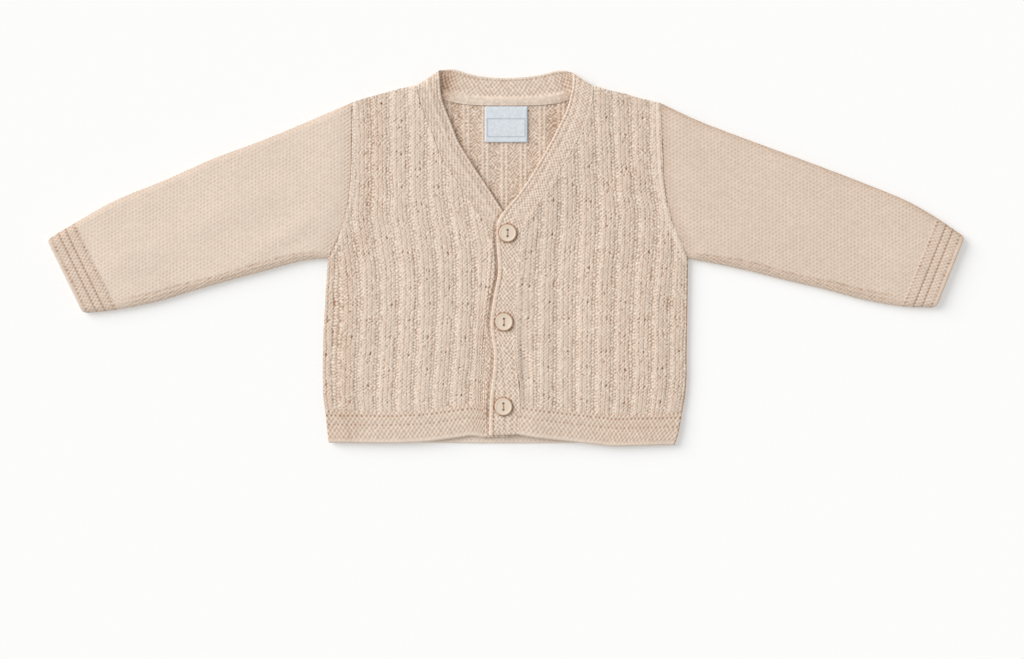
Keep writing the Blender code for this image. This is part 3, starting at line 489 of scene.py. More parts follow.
def frontRelief(across, up, side, knit):
    # height over the inner face, depth of shade and tone of the knit at a place on a front: across is
    # from the centre line out, up is from the hem along the wales
    way = wayOf[side]
    reach, length = knit["sway"]
    driftUp, driftIn, driftOut = columnsOf(knit["drift"][side])
    inner, outer = knit["driftSpan"]
    outwards = np.clip((across - inner) / (outer - inner), 0.0, 1.1)
    nearBand = smoothCurve(driftUp, driftIn, up) * (1 - outwards)
    nearArm = smoothCurve(driftUp, driftOut, up) * outwards
    drift = (nearBand + nearArm) * smoothStep(0.0, knit["driftEnd"], across.max() - across)
    swayed = across - drift + reach * softNoise(across, up, length, 3) + 0.2 * softNoise(across, up, 4.0, 4)
    course = (up + 0.5 * softNoise(across, up, 9.0, 5)) / knit["courseHeight"]
    ribAt = (swayed - knit["firstRib"][side]) / knit["ribPitch"]
    rib = np.round(ribAt)
    fromRib = (ribAt - rib) * knit["ribPitch"]
    half = np.abs(fromRib)

    # a rib has calm ovals of smooth wales between its pairs of eyelets, and rougher knit beside them
    gaps, fromPair = eyelets(knit, way * fromRib, rib, up, knit["eyeletPhase"][side])
    fromGaps = fromPair + 0.8 * softNoise(across, up, 3.0, 18)
    calm = bell(fromRib, knit["calmHalf"]) * smoothStep(*knit["calmFrom"], fromGaps)
    wale = fromRib / knit["waleWidth"]
    grains = plainKnit(wale, course, knit["slant"])
    border = np.abs((wale % 1.0) - 0.5) * knit["waleWidth"]
    lines = 1 - 0.8 * bell(border, 0.5) - 0.25 * bell(knit["waleWidth"] / 2 - border, 0.4)
    seeds = 2 * seedKnit(across, up, knit["seedPitch"], knit["seedStray"], 14) - 1
    seeds = seeds * (1 + 0.7 * softNoise(across, up, 1.5, 17))
    grainNoise = stitchNoise(wale * 2 + rib * 8, course - np.abs(border - 0.8) * 0.4, 11)
    ribStitch = 0.02 + 0.10 * calm + (0.60 - 0.12 * calm) * lines + (0.4 - 0.1 * calm) * grains
    ribStitch += (1 - 0.5 * calm) * (0.12 * grainNoise + 0.56 * seeds)

    # between the ribs lie the gutters, whose width changes a little up the front
    bumps = gutterBumps(across, up, fromRib, ribAt, course, knit) + 0.25 * seeds
    widening = 0.5 * softNoise(np.floor(ribAt) * 7, up, 6.0, 9)
    gutter = smoothStep(knit["ribHalf"][0] + 0.3, knit["ribHalf"][1] - 0.2, half + widening)
    stitches = ribStitch * (1 - gutter) + bumps * gutter
    crest = 1 - smoothStep(*knit["ribHalf"], half) - 0.10 * (np.minimum(half, 4.0) / 4.0) ** 2

    gaps = gaps * (up > knit["hemHeight"] + 4) * (1 - gutter)
    ovalAcross, ovalUp = knit["ovalHalf"]
    oval = bell(fromRib, ovalAcross) * bell(fromPair - knit["eyeletRise"] / 2, ovalUp)
    height = knit["wall"] + crest * knit["ribRise"] + knit["ovalRise"] * oval
    height += knit["stitchRise"] * (stitches - 0.55) - gaps * knit["eyeletDepth"]

    # each rib has a darker line along one side, where it turns from the light, and a lighter one opposite
    ribShade = np.clip(0.88 - 0.75 * ribStitch, 0.0, 1.0)
    depth = 0.80 + 0.12 * softNoise(np.floor(ribAt) * 5, up, 8.0, 10)
    gutterShade = depth * np.clip(1.08 - 1.7 * bumps, 0.0, 1.0)
    shade = ribShade * (1 - gutter) + gutterShade * gutter + 0.6 * gaps
    shadowSide = bell(way * fromRib - 4.35, 0.5) * (0.08 + 0.25 * softNoise(across, up, 4.0, 6))
    lightSide = bell(way * fromRib + 3.75, 0.55)
    shade = shade * (1 - 0.15 * lightSide) + shadowSide
    tone = 0.3 * grainNoise * (1 - gutter) + 0.5 * gutter * (bumps - 0.4) + 0.05 * lightSide

    hemHeight, hemShade, hemTone = hemRelief(across, up, knit)
    mix = smoothStep(knit["hemHeight"] + 0.6, knit["hemHeight"] - 0.4, up)
    topLine = bell(up - knit["hemHeight"], 0.6)
    height = height * (1 - mix) + hemHeight * mix - 0.25 * topLine
    shade = shade * (1 - mix) + hemShade * mix + 0.15 * topLine
    tone = tone * (1 - mix) + hemTone * mix
    return height, np.clip(shade, 0.0, 1.3), tone


def frontPanel(side):
    # one front: columns run up the wales from the hem to the armhole, shoulder or neck seam. Its upper
    # face is its inner face, which goes from the back's level to the band's, plus the knit's height,
    # rounded off at the edges
    knit = frontKnit
    way = wayOf[side]
    part = "frontLeft" if side == "left" else "frontRight"
    seamX, seamY, seamLevel = frontSeam(side)
    shoulderX, shoulderY = columnsOf(shoulder[side])
    armX, armY = evenLine(*columnsOf(armhole[side]), 60)
    onSlope = seamY >= knit["slopeFrom"]
    slopeX = way * seamX[onSlope]
    slopeY = seamY[onSlope]
    neckPoint = slopeX.min()
    rising = np.concatenate(([True], np.diff(np.maximum.accumulate(slopeX)) > 0.01))
    topX = np.concatenate((slopeX[rising], way * shoulderX[::-1], way * armX[::-1][1:]))
    topY = np.concatenate((slopeY[rising], shoulderY[::-1], armY[::-1][1:]))
    far = way * armX[0]

    step = knit["waleWidth"] / knit["columnsPerWale"]
    margin = garment["outlineMargin"]
    first = knit["firstRib"][side]
    places = first + step * np.arange(math.ceil((neckPoint - first) / step), (far - first) // step + 1)
    places = places[(places > neckPoint + margin) & (places < far - margin)]
    nominal = np.concatenate(([neckPoint], places, [far]))
    top = np.interp(nominal, topX, topY)
    hemX, hemY = columnsOf(hemEdge[side])
    bottom = smoothCurve(hemX, hemY, way * nominal)

    up = np.arange(0.0, garment["tallest"], knit["courseHeight"] / knit["rowsPerCourse"])[:, None]
    y = up + bottom * (1 - smoothStep(knit["hemHeight"], knit["hemEase"], up))
    last = (y < top - garment["topMargin"]).sum(axis=0)
    y = np.minimum(y, top)
    up = np.broadcast_to(up, y.shape)
    across = np.broadcast_to(nominal, y.shape)
    height, shade, tone = frontRelief(across, up, side, knit)

    # the outer columns follow the side, and those beside the band follow its seam
    sideX, sideY = columnsOf(sideEdge[side])
    sidePull = way * smoothCurve(sideY, sideX, y) - far
    nearSide = smoothStep(0.0, 1.0, (across - neckPoint) / (far - neckPoint)) ** 2
    order = np.argsort(seamY)
    seamHere = np.interp(y, seamY[order], seamX[order])
    bandPull = np.where(y < slopeY[0], way * seamHere - neckPoint, 0.0)
    x = way * (across + sidePull * nearSide + bandPull * bell(across - neckPoint, knit["pullReach"]))

    # the inner face lies on the back at the side and the shoulder, and is level with the band's underside
    # beside the band
    fromSide = np.abs(way * x - (far + sidePull))
    shoulderLine = np.interp(way * x, way * shoulderX[::-1], shoulderY[::-1])
    fromShoulder = np.maximum(shoulderLine - y, 0.0)
    lowest = garment["backWall"] + garment["layerGap"]
    creases = foldHeight(x, y, folds[part])
    inside = (1 - np.exp(-fromSide / knit["liftReach"])) * (1 - np.exp(-fromShoulder / knit["liftReach"]))
    body = lowest + knit["lift"] * inside + creases * (1 - np.exp(-fromSide / knit["creaseReach"]))
    underBand = np.interp(y, seamY[order], seamLevel[order]) - bandKnit["wall"] / 2
    besideBand = bell(x - seamHere, knit["bandReach"])
    innerZ = body * (1 - besideBand) + (underBand + np.minimum(creases, 0.0)) * besideBand
    innerZ = np.maximum(innerZ, lowest)

    fromArm = distanceTo(armX, armY, x, y)
    fromBand = distanceTo(seamX, seamY, x, y)
    fromTop = distanceTo(shoulderX, shoulderY, x, y)
    fromOuter = np.minimum(fromSide, fromArm)
    ridge = bell(fromArm - knit["ridgeAt"], knit["ridgeHalf"])
    ridgeHeight = knit["ridgeHeight"] + 0.15 * np.cos(2 * np.pi * y / 2.2)
    height = height * (1 - 0.6 * ridge) + 0.6 * ridge * ridgeHeight
    # painted highlight on the ridge beside the armhole, and painted shade along its seam
    shade = shade * (1 - 0.3 * ridge) + 0.12 * bell(fromArm, 0.8)
    tone = tone + 0.15 * ridge
    if side == "right":
        # painted shade at the side, a little way in from the side and the armhole, and low beside the band
        shade = shade + 0.14 * bell(fromOuter - 14.0, 7.0) + 0.08 * bell(fromSide - 3.0, 3.0)
        shade = shade + 0.12 * bell(fromBand, 9.0) * smoothStep(110.0, 80.0, y)
    else:
        # painted shade over its outer part, where the light falls off, and in the crease by the lowest button
        shade = shade + 0.07 * smoothStep(20.0, 90.0, across) * smoothStep(1.0, 8.0, fromOuter)
        shade = shade + 0.75 * bell(fromBand, 0.8) * bell(y - 41.0, 13.0)
    # painted shade along the side edge, where the cloth turns down
    shade = shade + 0.28 * bell(fromSide, 1.0)

    # over the hem the cloth rises to the band, less so up the slope of the overlapping front
    height = height * edgeProfile(np.minimum(up, fromSide), garment["edgeRound"], garment["edgeShare"])
    bandRise = knit["bandRise"] * smoothStep(17.0, 24.0, up)
    if side == "left":
        bandRise = bandRise * (1 - 0.45 * smoothStep(150.0, 175.0, y))
    height = height + bandRise * bell(fromBand, knit["riseReach"])
    height = height + knit["armRise"] * bell(fromArm, knit["riseReach"])
    seam = np.minimum(fromArm, np.minimum(fromBand, fromTop))
    height = height * edgeProfile(seam, garment["seamRound"], garment["seamShare"])
    grid = np.stack([x, y, innerZ + height], axis=-1)
    low = np.zeros(len(nominal), int)
    layers = {"shade": shade, "tone": tone, "uv": (across, up)}
    return makeShell(part + "Knit", grid, low, last, innerZ, knit["underStep"], layers)


# Back: its purl side shows inside the neck
backKnit = {
    "ribPitch": 12.67,
    "middleRib": -1.0,          # x of one rib's middle
    "strandAt": 1.5,            # two light strands a rib, out from its middle, and their half width
    "strandHalf": 0.75,
    "seedPitch": 2.6,
    "seedStray": 1.2,
    "fineHalf": 62.0,           # the part that shows in the neck opening has close stitches
    "fineFrom": 138.0,
    "fineStep": 0.53,
    "fineFade": (4.0, 6.0),     # how far they die out at its sides and its foot
    "coarseColumns": 34,
    "coarseRows": 30,
    "hemTop": 9.0,              # the hem has close rows up to here, because it shows below the fronts
    "hemStep": 0.5,
    "hemEase": 60.0,            # the hem's own curve has died out at this height
    "underStrip": (33.0, 37.0), # out from the middle, its top edge lies under the band's strip up to here
    "wall": 1.72,
    "stitchRise": 0.42,
    "shadeAt": (33.0, 214.0),   # painted shade in a place inside the neck: middle, half width and height, depth
    "shadeHalf": (8.0, 13.0),
    "shadeDepth": 0.22,
    "shoulderRise": (0.5, 1.25),        # all along a shoulder, and more towards the neck
    "underStep": 24,
}


def backRelief(x, y, knit):
    # purl side: rows of small bumps half a stitch over, and the inside of each rib as narrow light strands
    ribAt = (x - knit["middleRib"]) / knit["ribPitch"]
    fromRib = (ribAt - np.round(ribAt)) * knit["ribPitch"]
    bumps = seedKnit(x, y, knit["seedPitch"], knit["seedStray"], 21) + 0.15 * softNoise(x, y, 1.4, 25)
    strand = bell(np.abs(fromRib) - knit["strandAt"], knit["strandHalf"])
    loops = 0.75 + 0.2 * np.cos(2 * np.pi * y / frontKnit["courseHeight"])
    uneven = stitchNoise(x / 1.45, y / 1.3, 23)
    stitches = bumps * (1 + 0.25 * uneven) * (1 - strand) + strand * loops
    height = knit["wall"] + knit["stitchRise"] * (stitches - 0.5) + 0.3 * strand
    shade = np.clip(0.96 - stitches * 0.9, 0.0, 1.0)
    # painted shadow, deepening towards the right slope of the V
    shade = shade + 0.12 * smoothStep(-14.0, -34.0, x)
    return height, shade, 0.5 * uneven + 0.2 * strand


def backOutline(knit):
    # armholes, shoulders and neck edge as one line from the right underarm over to the left one
    seamX, seamY, _, freeY, _ = columnsOf(bandNeck)
    underStrip = 1 - smoothStep(*knit["underStrip"], np.abs(seamX))
    neckY = seamY + underStrip * 0.25 * (freeY - seamY) - (1 - underStrip) * 0.12
    parts = [columnsOf(armhole["right"]), columnsOf(shoulder["right"][1:]), [seamX[1:-1], neckY[1:-1]],
             columnsOf(shoulder["left"][::-1]), columnsOf(armhole["left"][::-1][1:])]
    return [np.concatenate(values) for values in zip(*parts)]


def backPanel():
    # the back, inner face up: columns run up the wales, close ones inside the neck. Its under face is
    # flat on the surface, and its upper face is the knit's height, rounded off at the edges
    knit = backKnit
    topX, topY = backOutline(knit)
    fine = np.arange(-knit["fineHalf"], knit["fineHalf"], knit["fineStep"])
    coarseLeft = np.linspace(knit["fineHalf"], topX[-1], knit["coarseColumns"])
    coarseRight = np.linspace(topX[0], -knit["fineHalf"], knit["coarseColumns"])[:-1]
    nominal = np.unique(np.concatenate((coarseRight, fine, coarseLeft)).round(4))
    top = np.interp(nominal, topX, topY)
    hemX, hemY = columnsOf(hemEdge["back"])
    bottom = smoothCurve(hemX, hemY, nominal)
    hemRows = np.arange(0.0, knit["hemTop"], knit["hemStep"])
    coarseRows = np.linspace(knit["hemTop"], knit["fineFrom"], knit["coarseRows"])[:-1]
    fineRows = np.arange(knit["fineFrom"], garment["tallest"], knit["fineStep"])
    up = np.concatenate((hemRows, coarseRows, fineRows))[:, None]
    y = up + bottom * (1 - smoothStep(0.0, knit["hemEase"], up))
    last = (y < top - garment["topMargin"]).sum(axis=0)
    y = np.minimum(y, top)
    across = np.broadcast_to(nominal, y.shape)
    x = across.copy()
    for side in ("left", "right"):
        sideX, sideY = columnsOf(sideEdge[side])
        far = armhole[side][0][0]
        x += (smoothCurve(sideY, sideX, y) - far) * smoothStep(0.0, 1.0, across / far) ** 2

    # painted shadow beside the right slope of the V, and painted shade in one place inside the neck
    height, shade, tone = backRelief(x, y, knit)
    slopeX, slopeY = columnsOf(bandRight[5:])[2:4]
    shade = shade + 0.16 * bell(distanceTo(slopeX, slopeY, x, y), 2.2)
    fadeAcross, fadeDown = knit["fineFade"]
    closeUp = smoothStep(knit["fineFrom"] - fadeDown, knit["fineFrom"], y)
    closeUp = closeUp * smoothStep(knit["fineHalf"], knit["fineHalf"] - fadeAcross, np.abs(x))
    moss = mossKnit(x / frontKnit["hemAlong"], up / frontKnit["hemRow"])
    nearHem = smoothStep(knit["hemTop"], knit["hemTop"] - 1, up)
    height = closeUp * height + (1 - closeUp) * knit["wall"] + nearHem * 0.4 * (moss - 0.5)
    shade = closeUp * shade + nearHem * (0.3 - moss * 0.3)
    placeX, placeY = knit["shadeAt"]
    halfX, halfY = knit["shadeHalf"]
    shade = shade + knit["shadeDepth"] * bell(x - placeX, halfX) * bell(y - placeY, halfY)
    edge = distanceTo(topX, topY, x, y)
    edge = np.minimum(edge, np.minimum(np.broadcast_to(up, y.shape), x - x[:, :1]))
    edge = np.minimum(edge, x[:, -1:] - x)

    # at the shoulders it rises to meet the fronts
    fromShoulder = np.minimum(*(distanceTo(*columnsOf(shoulder[side]), x, y) for side in ("right", "left")))
    rise, moreRise = knit["shoulderRise"]
    height += (rise + moreRise * bell(np.abs(x) - 58.0, 22.0)) * bell(fromShoulder, 4.0)
    height = height * edgeProfile(edge, garment["edgeRound"], 0.5 + 0.45 * bell(fromShoulder, 1.5))
    grid = np.stack([x, y, height], axis=-1)
    low = np.zeros(len(nominal), int)
    layers = {"shade": shade, "tone": tone, "uv": (x, y)}
    return makeShell("backKnit", grid, low, last, 0.0, knit["underStep"], layers)


# Sleeves: plain knit tubes, each with its moss-stitch cuff in one
sleeveKnit = {
    "waleWidth": 4.55,
    "courseHeight": 2.61,
    "sway": (0.3, 5.0),         # how far wales and courses wander, over what length
    "gridStep": 0.5,
    "underStep": 14,
    "wall": 1.9,
    "hollow": 1.6,
    "stitchRise": 0.24,
    "sleeveShade": {"left": 0.28, "right": 0.16},    # yarn shade; the left one's extra is painted shade, where light falls off
    "edgeReach": 5.0,
    "cuff": 21.6,
    "cuffWall": 2.2,
    "cuffRise": 0.4,
    "cuffMoss": (2.4, 1.9),     # a stitch across the cuff and along it
    "cuffGrooves": (9.0, 14.3),
    "cuffDots": (3.2, 20.3),
    "dotPitch": 2.87,
    "cuffRim": (3.0, 2.0),      # the end of the cuff is smoother from here on
    "underarmAt": (3.6, 2.0),   # how far the underarm's strands reach in at the armhole, and more beyond
    "strandAlong": 5.5,         # the strands' steps along the fold and across it, and of the stitches in them
    "strandAcross": 1.6,
    "strandStitch": 2.2,
    "fashionReach": (9.0, 1.5), # slanted stitches beside the armhole
    "fashionPitch": 2.6,
    # the cuff's opening: depth and level of lines in along its upper wall and back out along its lower one
    "mouth": ((0.3, 3.7), (10.0, 3.5), (50.0, 3.4), (100.0, 3.4), (140.0, 3.3), (170.0, 3.1),
              (170.0, 2.2), (140.0, 2.0), (100.0, 1.9), (50.0, 1.9), (10.0, 1.9), (0.3, 1.8), (0.0, 0.7)),
    "mouthMiddle": 2.6,
    "mouthMargin": 3.0,
    "cornerRadius": 2.8,        # the cuff's corners, no more than the mouth's margin
}


def cuffRelief(along, across, knit):
    # height and shade of the cuff: moss stitch with two broken grooves and two rows of dots round it,
    # smoother towards its end
    pitch, row = knit["cuffMoss"]
    moss = mossKnit((across + 0.5 * softNoise(along, across, 2.8, 44)) / pitch, along / row)
    groove = np.zeros_like(along)
    for at in knit["cuffGrooves"]:
        groove += bell(along - at, 0.55) * (0.8 + 0.35 * np.cos(2 * np.pi * across / pitch))
    dots = np.zeros_like(along)
    for at in knit["cuffDots"]:
        dots += bell(along - at, 0.8) * (0.5 - 0.5 * np.cos(2 * np.pi * across / knit["dotPitch"]))
    dots *= 0.75 + 0.5 * softNoise(along, across, 2.2, 42)
    ripple = 0.5 * softNoise(along, across, 2.6, 43)
    rim = smoothStep(*knit["cuffRim"], along)
    moss = moss * (1 - 0.7 * rim) + 0.5 * rim
    height = knit["cuffWall"] + knit["cuffRise"] * (moss - 0.5) * (1 - groove) - 0.6 * groove - 0.4 * dots
    shade = np.clip(0.68 - 0.5 * moss + 0.12 * ripple, 0.0, 1.0) * (1 - groove)
    return height, shade + 0.9 * groove + 0.5 * dots


def sleeveTube(side):
    # a sleeve laid flat: columns across it from the cuff's end to the armhole, rows along it. Its upper
    # face is the wall over the hollow, which rises from both folds as a quarter round, plus the knit's
    # height
    knit = sleeveKnit
    way = wayOf[side]
    part = "sleeveLeft" if side == "left" else "sleeveRight"
    armX, armY = evenLine(*columnsOf(armhole[side]), 80)
    armX, armY = movedAside(armX, armY, way * garment["seamGap"])
    topX, topY, lowX, lowY = columnsOf(sleeveSections[side])
    topX = np.concatenate(([armX[-1]], topX))
    topY = np.concatenate(([armY[-1]], topY))
    lowX = np.concatenate(([armX[0]], lowX))
    lowY = np.concatenate(([armY[0]], lowY))
    knots = runOf(np.stack([(topX + lowX) / 2, (topY + lowY) / 2]))
    stations = np.linspace(0.0, knots[-1], 160)
    topLine = np.stack([smoothCurve(knots, topX, stations), smoothCurve(knots, topY, stations)])
    lowLine = np.stack([smoothCurve(knots, lowX, stations), smoothCurve(knots, lowY, stations)])

    # the grid's axes: a along the sleeve from the cuff's end, b across it from the end's lower corner
    cuffLow = lowLine[:, -1]
    across = topLine[:, -1] - cuffLow
    across /= np.linalg.norm(across)
    along = np.array([-across[1] * way, across[0] * way])

    def place(line):
        shifted = line - cuffLow[:, None]
        return along @ shifted, across @ shifted

    topA, topB = place(topLine[:, ::-1])
    lowA, lowB = place(lowLine[:, ::-1])
    armA, armB = place(np.stack([armX, armY]))
    lowerA = np.concatenate((lowA, armA[1:]))
    lowerB = np.concatenate((lowB, armB[1:]))
    step = knit["gridStep"]
    a = np.arange(0.0, topA[-1], step)
    highEnd = np.interp(a, topA, topB)
    lowEnd = np.interp(a, lowerA, lowerB)
    radius = knit["cornerRadius"]
    corner = radius - np.sqrt(radius**2 - np.clip(radius - a, 0.0, radius) ** 2)
    highEnd = highEnd - corner
    lowEnd = lowEnd + corner
    b = (np.arange(math.floor(lowEnd.min() / step), highEnd.max() / step + 1) * step)[:, None]
    last = (b < highEnd - garment["outlineMargin"]).sum(axis=0)
    first = np.maximum((b <= lowEnd + garment["outlineMargin"]).sum(axis=0) - 1, 0)
    last = np.maximum(last, first)
    gridB = np.clip(b, lowEnd, highEnd)
    gridA = np.broadcast_to(a, gridB.shape)
    x = cuffLow[0] + along[0] * gridA + across[0] * gridB
    y = cuffLow[1] + along[1] * gridA + across[1] * gridB

    # plain knit: small gaps between the legs of its stitches, each row half a stitch over from the next
    stray, length = knit["sway"]
    wale = (x + stray * softNoise(x, y, length, 38)) / knit["waleWidth"]
    course = (y + stray * softNoise(x, y, length, 39)) / knit["courseHeight"]
    gapsHere = (np.cos(4 * np.pi * wale) + 2 * np.cos(2 * np.pi * wale) * np.cos(2 * np.pi * course)) / 3
    uneven = stitchNoise(wale * 2, course * 2, 37)
    stitches = 0.62 - (0.60 + 0.28 * softNoise(x, y, 3.5, 40)) * gapsHere + 0.08 * uneven
    height = knit["wall"] + knit["stitchRise"] * (stitches - 0.55)
    # each sleeve's shade, with painted shade added on the left one, and painted shade in the stitches' gaps
    shade = knit["sleeveShade"][side] + 0.3 * np.clip(1.0 - stitches, 0.0, 1.0)
    onCuff = smoothStep(knit["cuff"] + 0.4, knit["cuff"] - 0.4, gridA)
    cuffHeight, cuffShade = cuffRelief(gridA, gridB, knit)
    height = height * (1 - onCuff) + cuffHeight * onCuff
    shade = shade * (1 - onCuff) + cuffShade * onCuff

    # the underarm seam: slanting strands of stitches above the lower fold, between two broken lines
    fromTop = distanceTo(*topLine, x, y)
    fromLow = distanceTo(*lowLine, x, y)
    fromArm = distanceTo(armX, armY, x, y)
    fade = smoothStep(14.0, 40.0, gridA) * smoothStep(3.0, 9.0, fromArm)
    seamNear, seamMore = knit["underarmAt"]
    seamAt = seamNear + seamMore * smoothStep(0.0, 40.0, fromArm)
    seamAt = seamAt + 0.8 * softNoise(gridA, gridB * 0, 30.0, 5)
    underarm = (bell(fromLow - seamAt, 0.8) + 0.8 * bell(fromLow - 0.5 * seamAt, 0.7)) * fade
    underarm *= 0.6 + 0.5 * softNoise(gridA, gridB, 2.4, 45)
    strands = smoothStep(seamAt + 1.5, seamAt - 0.5, fromLow) * fade
    turns = gridA / knit["strandAlong"] - fromLow / knit["strandAcross"]
    cord = 0.5 + 0.5 * np.cos(2 * np.pi * (turns + 0.3 * softNoise(gridA, gridB, 3.0, 41)))
    cord *= 0.8 + 0.4 * np.cos(2 * np.pi * (gridA + 0.6 * fromLow) / knit["strandStitch"])
    height += 0.4 * strands * (cord - 0.4) - 0.4 * underarm
    shade = shade * (1 - 0.4 * strands) + strands * 0.36 * (1 - cord) + 0.26 * underarm
    fashion = smoothStep(*knit["fashionReach"], fromArm)
    slanted = 0.5 + 0.5 * np.cos(2 * np.pi * (y + way * 0.8 * x) / knit["fashionPitch"])
    height += 0.2 * fashion * (slanted - 0.5)
    # the slanted stitches' gaps, and painted shade along the armhole's seam and the upper fold
    shade += 0.2 * fashion * (1 - slanted) * (1 - strands) + 0.12 * bell(fromArm, 0.8)
    shade += 0.12 * bell(fromTop, 1.6) + 0.12 * bell(fromTop, 4.0)

    # the wall over the hollow, lower at the armhole's seam and rounded off at both ends
    low = knit["wall"] + 0.35 * knit["hollow"]
    full = knit["wall"] + knit["hollow"]
    inside = np.clip(np.minimum(fromTop, fromLow) / knit["edgeReach"], 0.0, 1.0)
    rounding = np.sqrt(1 - (1 - inside) ** 2)
    innerZ = low + (full - low) * rounding + foldHeight(x, y, folds[part]) * rounding
    ends = np.minimum(edgeProfile(fromArm, garment["seamRound"], garment["seamShare"]),
                      edgeProfile(gridA, 1.5, 0.6))
    topZ = innerZ + height * rounding * ends - 0.7 * bell(fromArm, 9.0) * rounding
    grid = np.stack([x, y, topZ], axis=-1)

    # the cuff's opening: each line across it bulges from the opening's middle level to its own
    upRim = (gridB[:, 0] - lowEnd[0]) / (highEnd[0] - lowEnd[0])
    mouth = []
    for depth, level in knit["mouth"]:
        lowHere = np.interp(depth, lowerA, lowerB) + knit["mouthMargin"]
        highHere = np.interp(depth, topA, topB) - knit["mouthMargin"]
        loopB = lowHere + upRim * (highHere - lowHere)
        loopZ = knit["mouthMiddle"] + (level - knit["mouthMiddle"]) * np.sqrt(1 - (2 * upRim - 1) ** 8)
        loopX = cuffLow[0] + along[0] * depth + across[0] * loopB
        loopY = cuffLow[1] + along[1] * depth + across[1] * loopB
        mouth.append(np.stack([loopX, loopY, loopZ], axis=-1))
    layers = {"shade": shade, "tone": 0.3 * uneven, "uv": (gridB, gridA)}
    return makeShell(part + "Knit", grid, first, last, 0.0, knit["underStep"], layers, mouth)


# Front band: one moss-stitch strip round the whole opening
bandKnit = {
    "mossAlong": 2.9,
    "mossRow": 1.7,
    "closeAlong": 3.17,         # where the band is buttoned its stitches lie closer across it
    "closeRow": 1.28,
    "slopeAlong": 2.45,         # and on the slopes of the V they are small
    "slopeRow": 1.3,
    "slopeWale": 1.94,          # most of those on the right slope line up as upright wales
    "slopeCourse": 2.2,
    "ridges": ((3.82, 0.12), (6.8, 0.08)),      # soft ridges along the fronts: pitch and height
    "columnStep": 0.478,
    "rowCount": 36,
    "underStep": 4,
    "wall": 2.0,
    "stitchRise": 0.42,
    "freeRound": (0.9, 0.3),    # how far in the free edge rounds off, and its height as a share
    "lapFrom": (158.0, 146.0),  # the two fronts' bands lap below here
    "hang": (3.2, 0.9, 4.5),    # the right slope's free edge hangs: to what level, how far at most, how wide
    "stripEnds": (39.0, 48.0),  # a thin smooth strip along the back neck fades out this far from the middle
    "stripShare": 0.25,
    "stripSlope": 0.11,
    "stripWall": 1.0,
    "stripSink": 0.55,
    "chain": 1.5,               # width of the light chain along the free edge
    "overChain": 2.4,           # and where the band laps over at the front
    "chainPitch": 2.2,
    "lapSink": 1.2,             # how far the under layer sinks beside the edge that laps over it
    # how deep that gap is, and how dark with painted shade, from the hem up
    "gapDepth": ((0, 0.0), (9, 0.0), (15, 0.35), (34, 0.45), (60, 0.4), (86, 0.55), (105, 0.75),
                 (125, 0.85), (140, 0.6), (152, 0.35)),
    "cornerShade": ((-41.5, 0.42), (41.0, 0.2)),        # painted shade at each corner of the neck: x and depth
    "cornerHalf": 7.0,
}


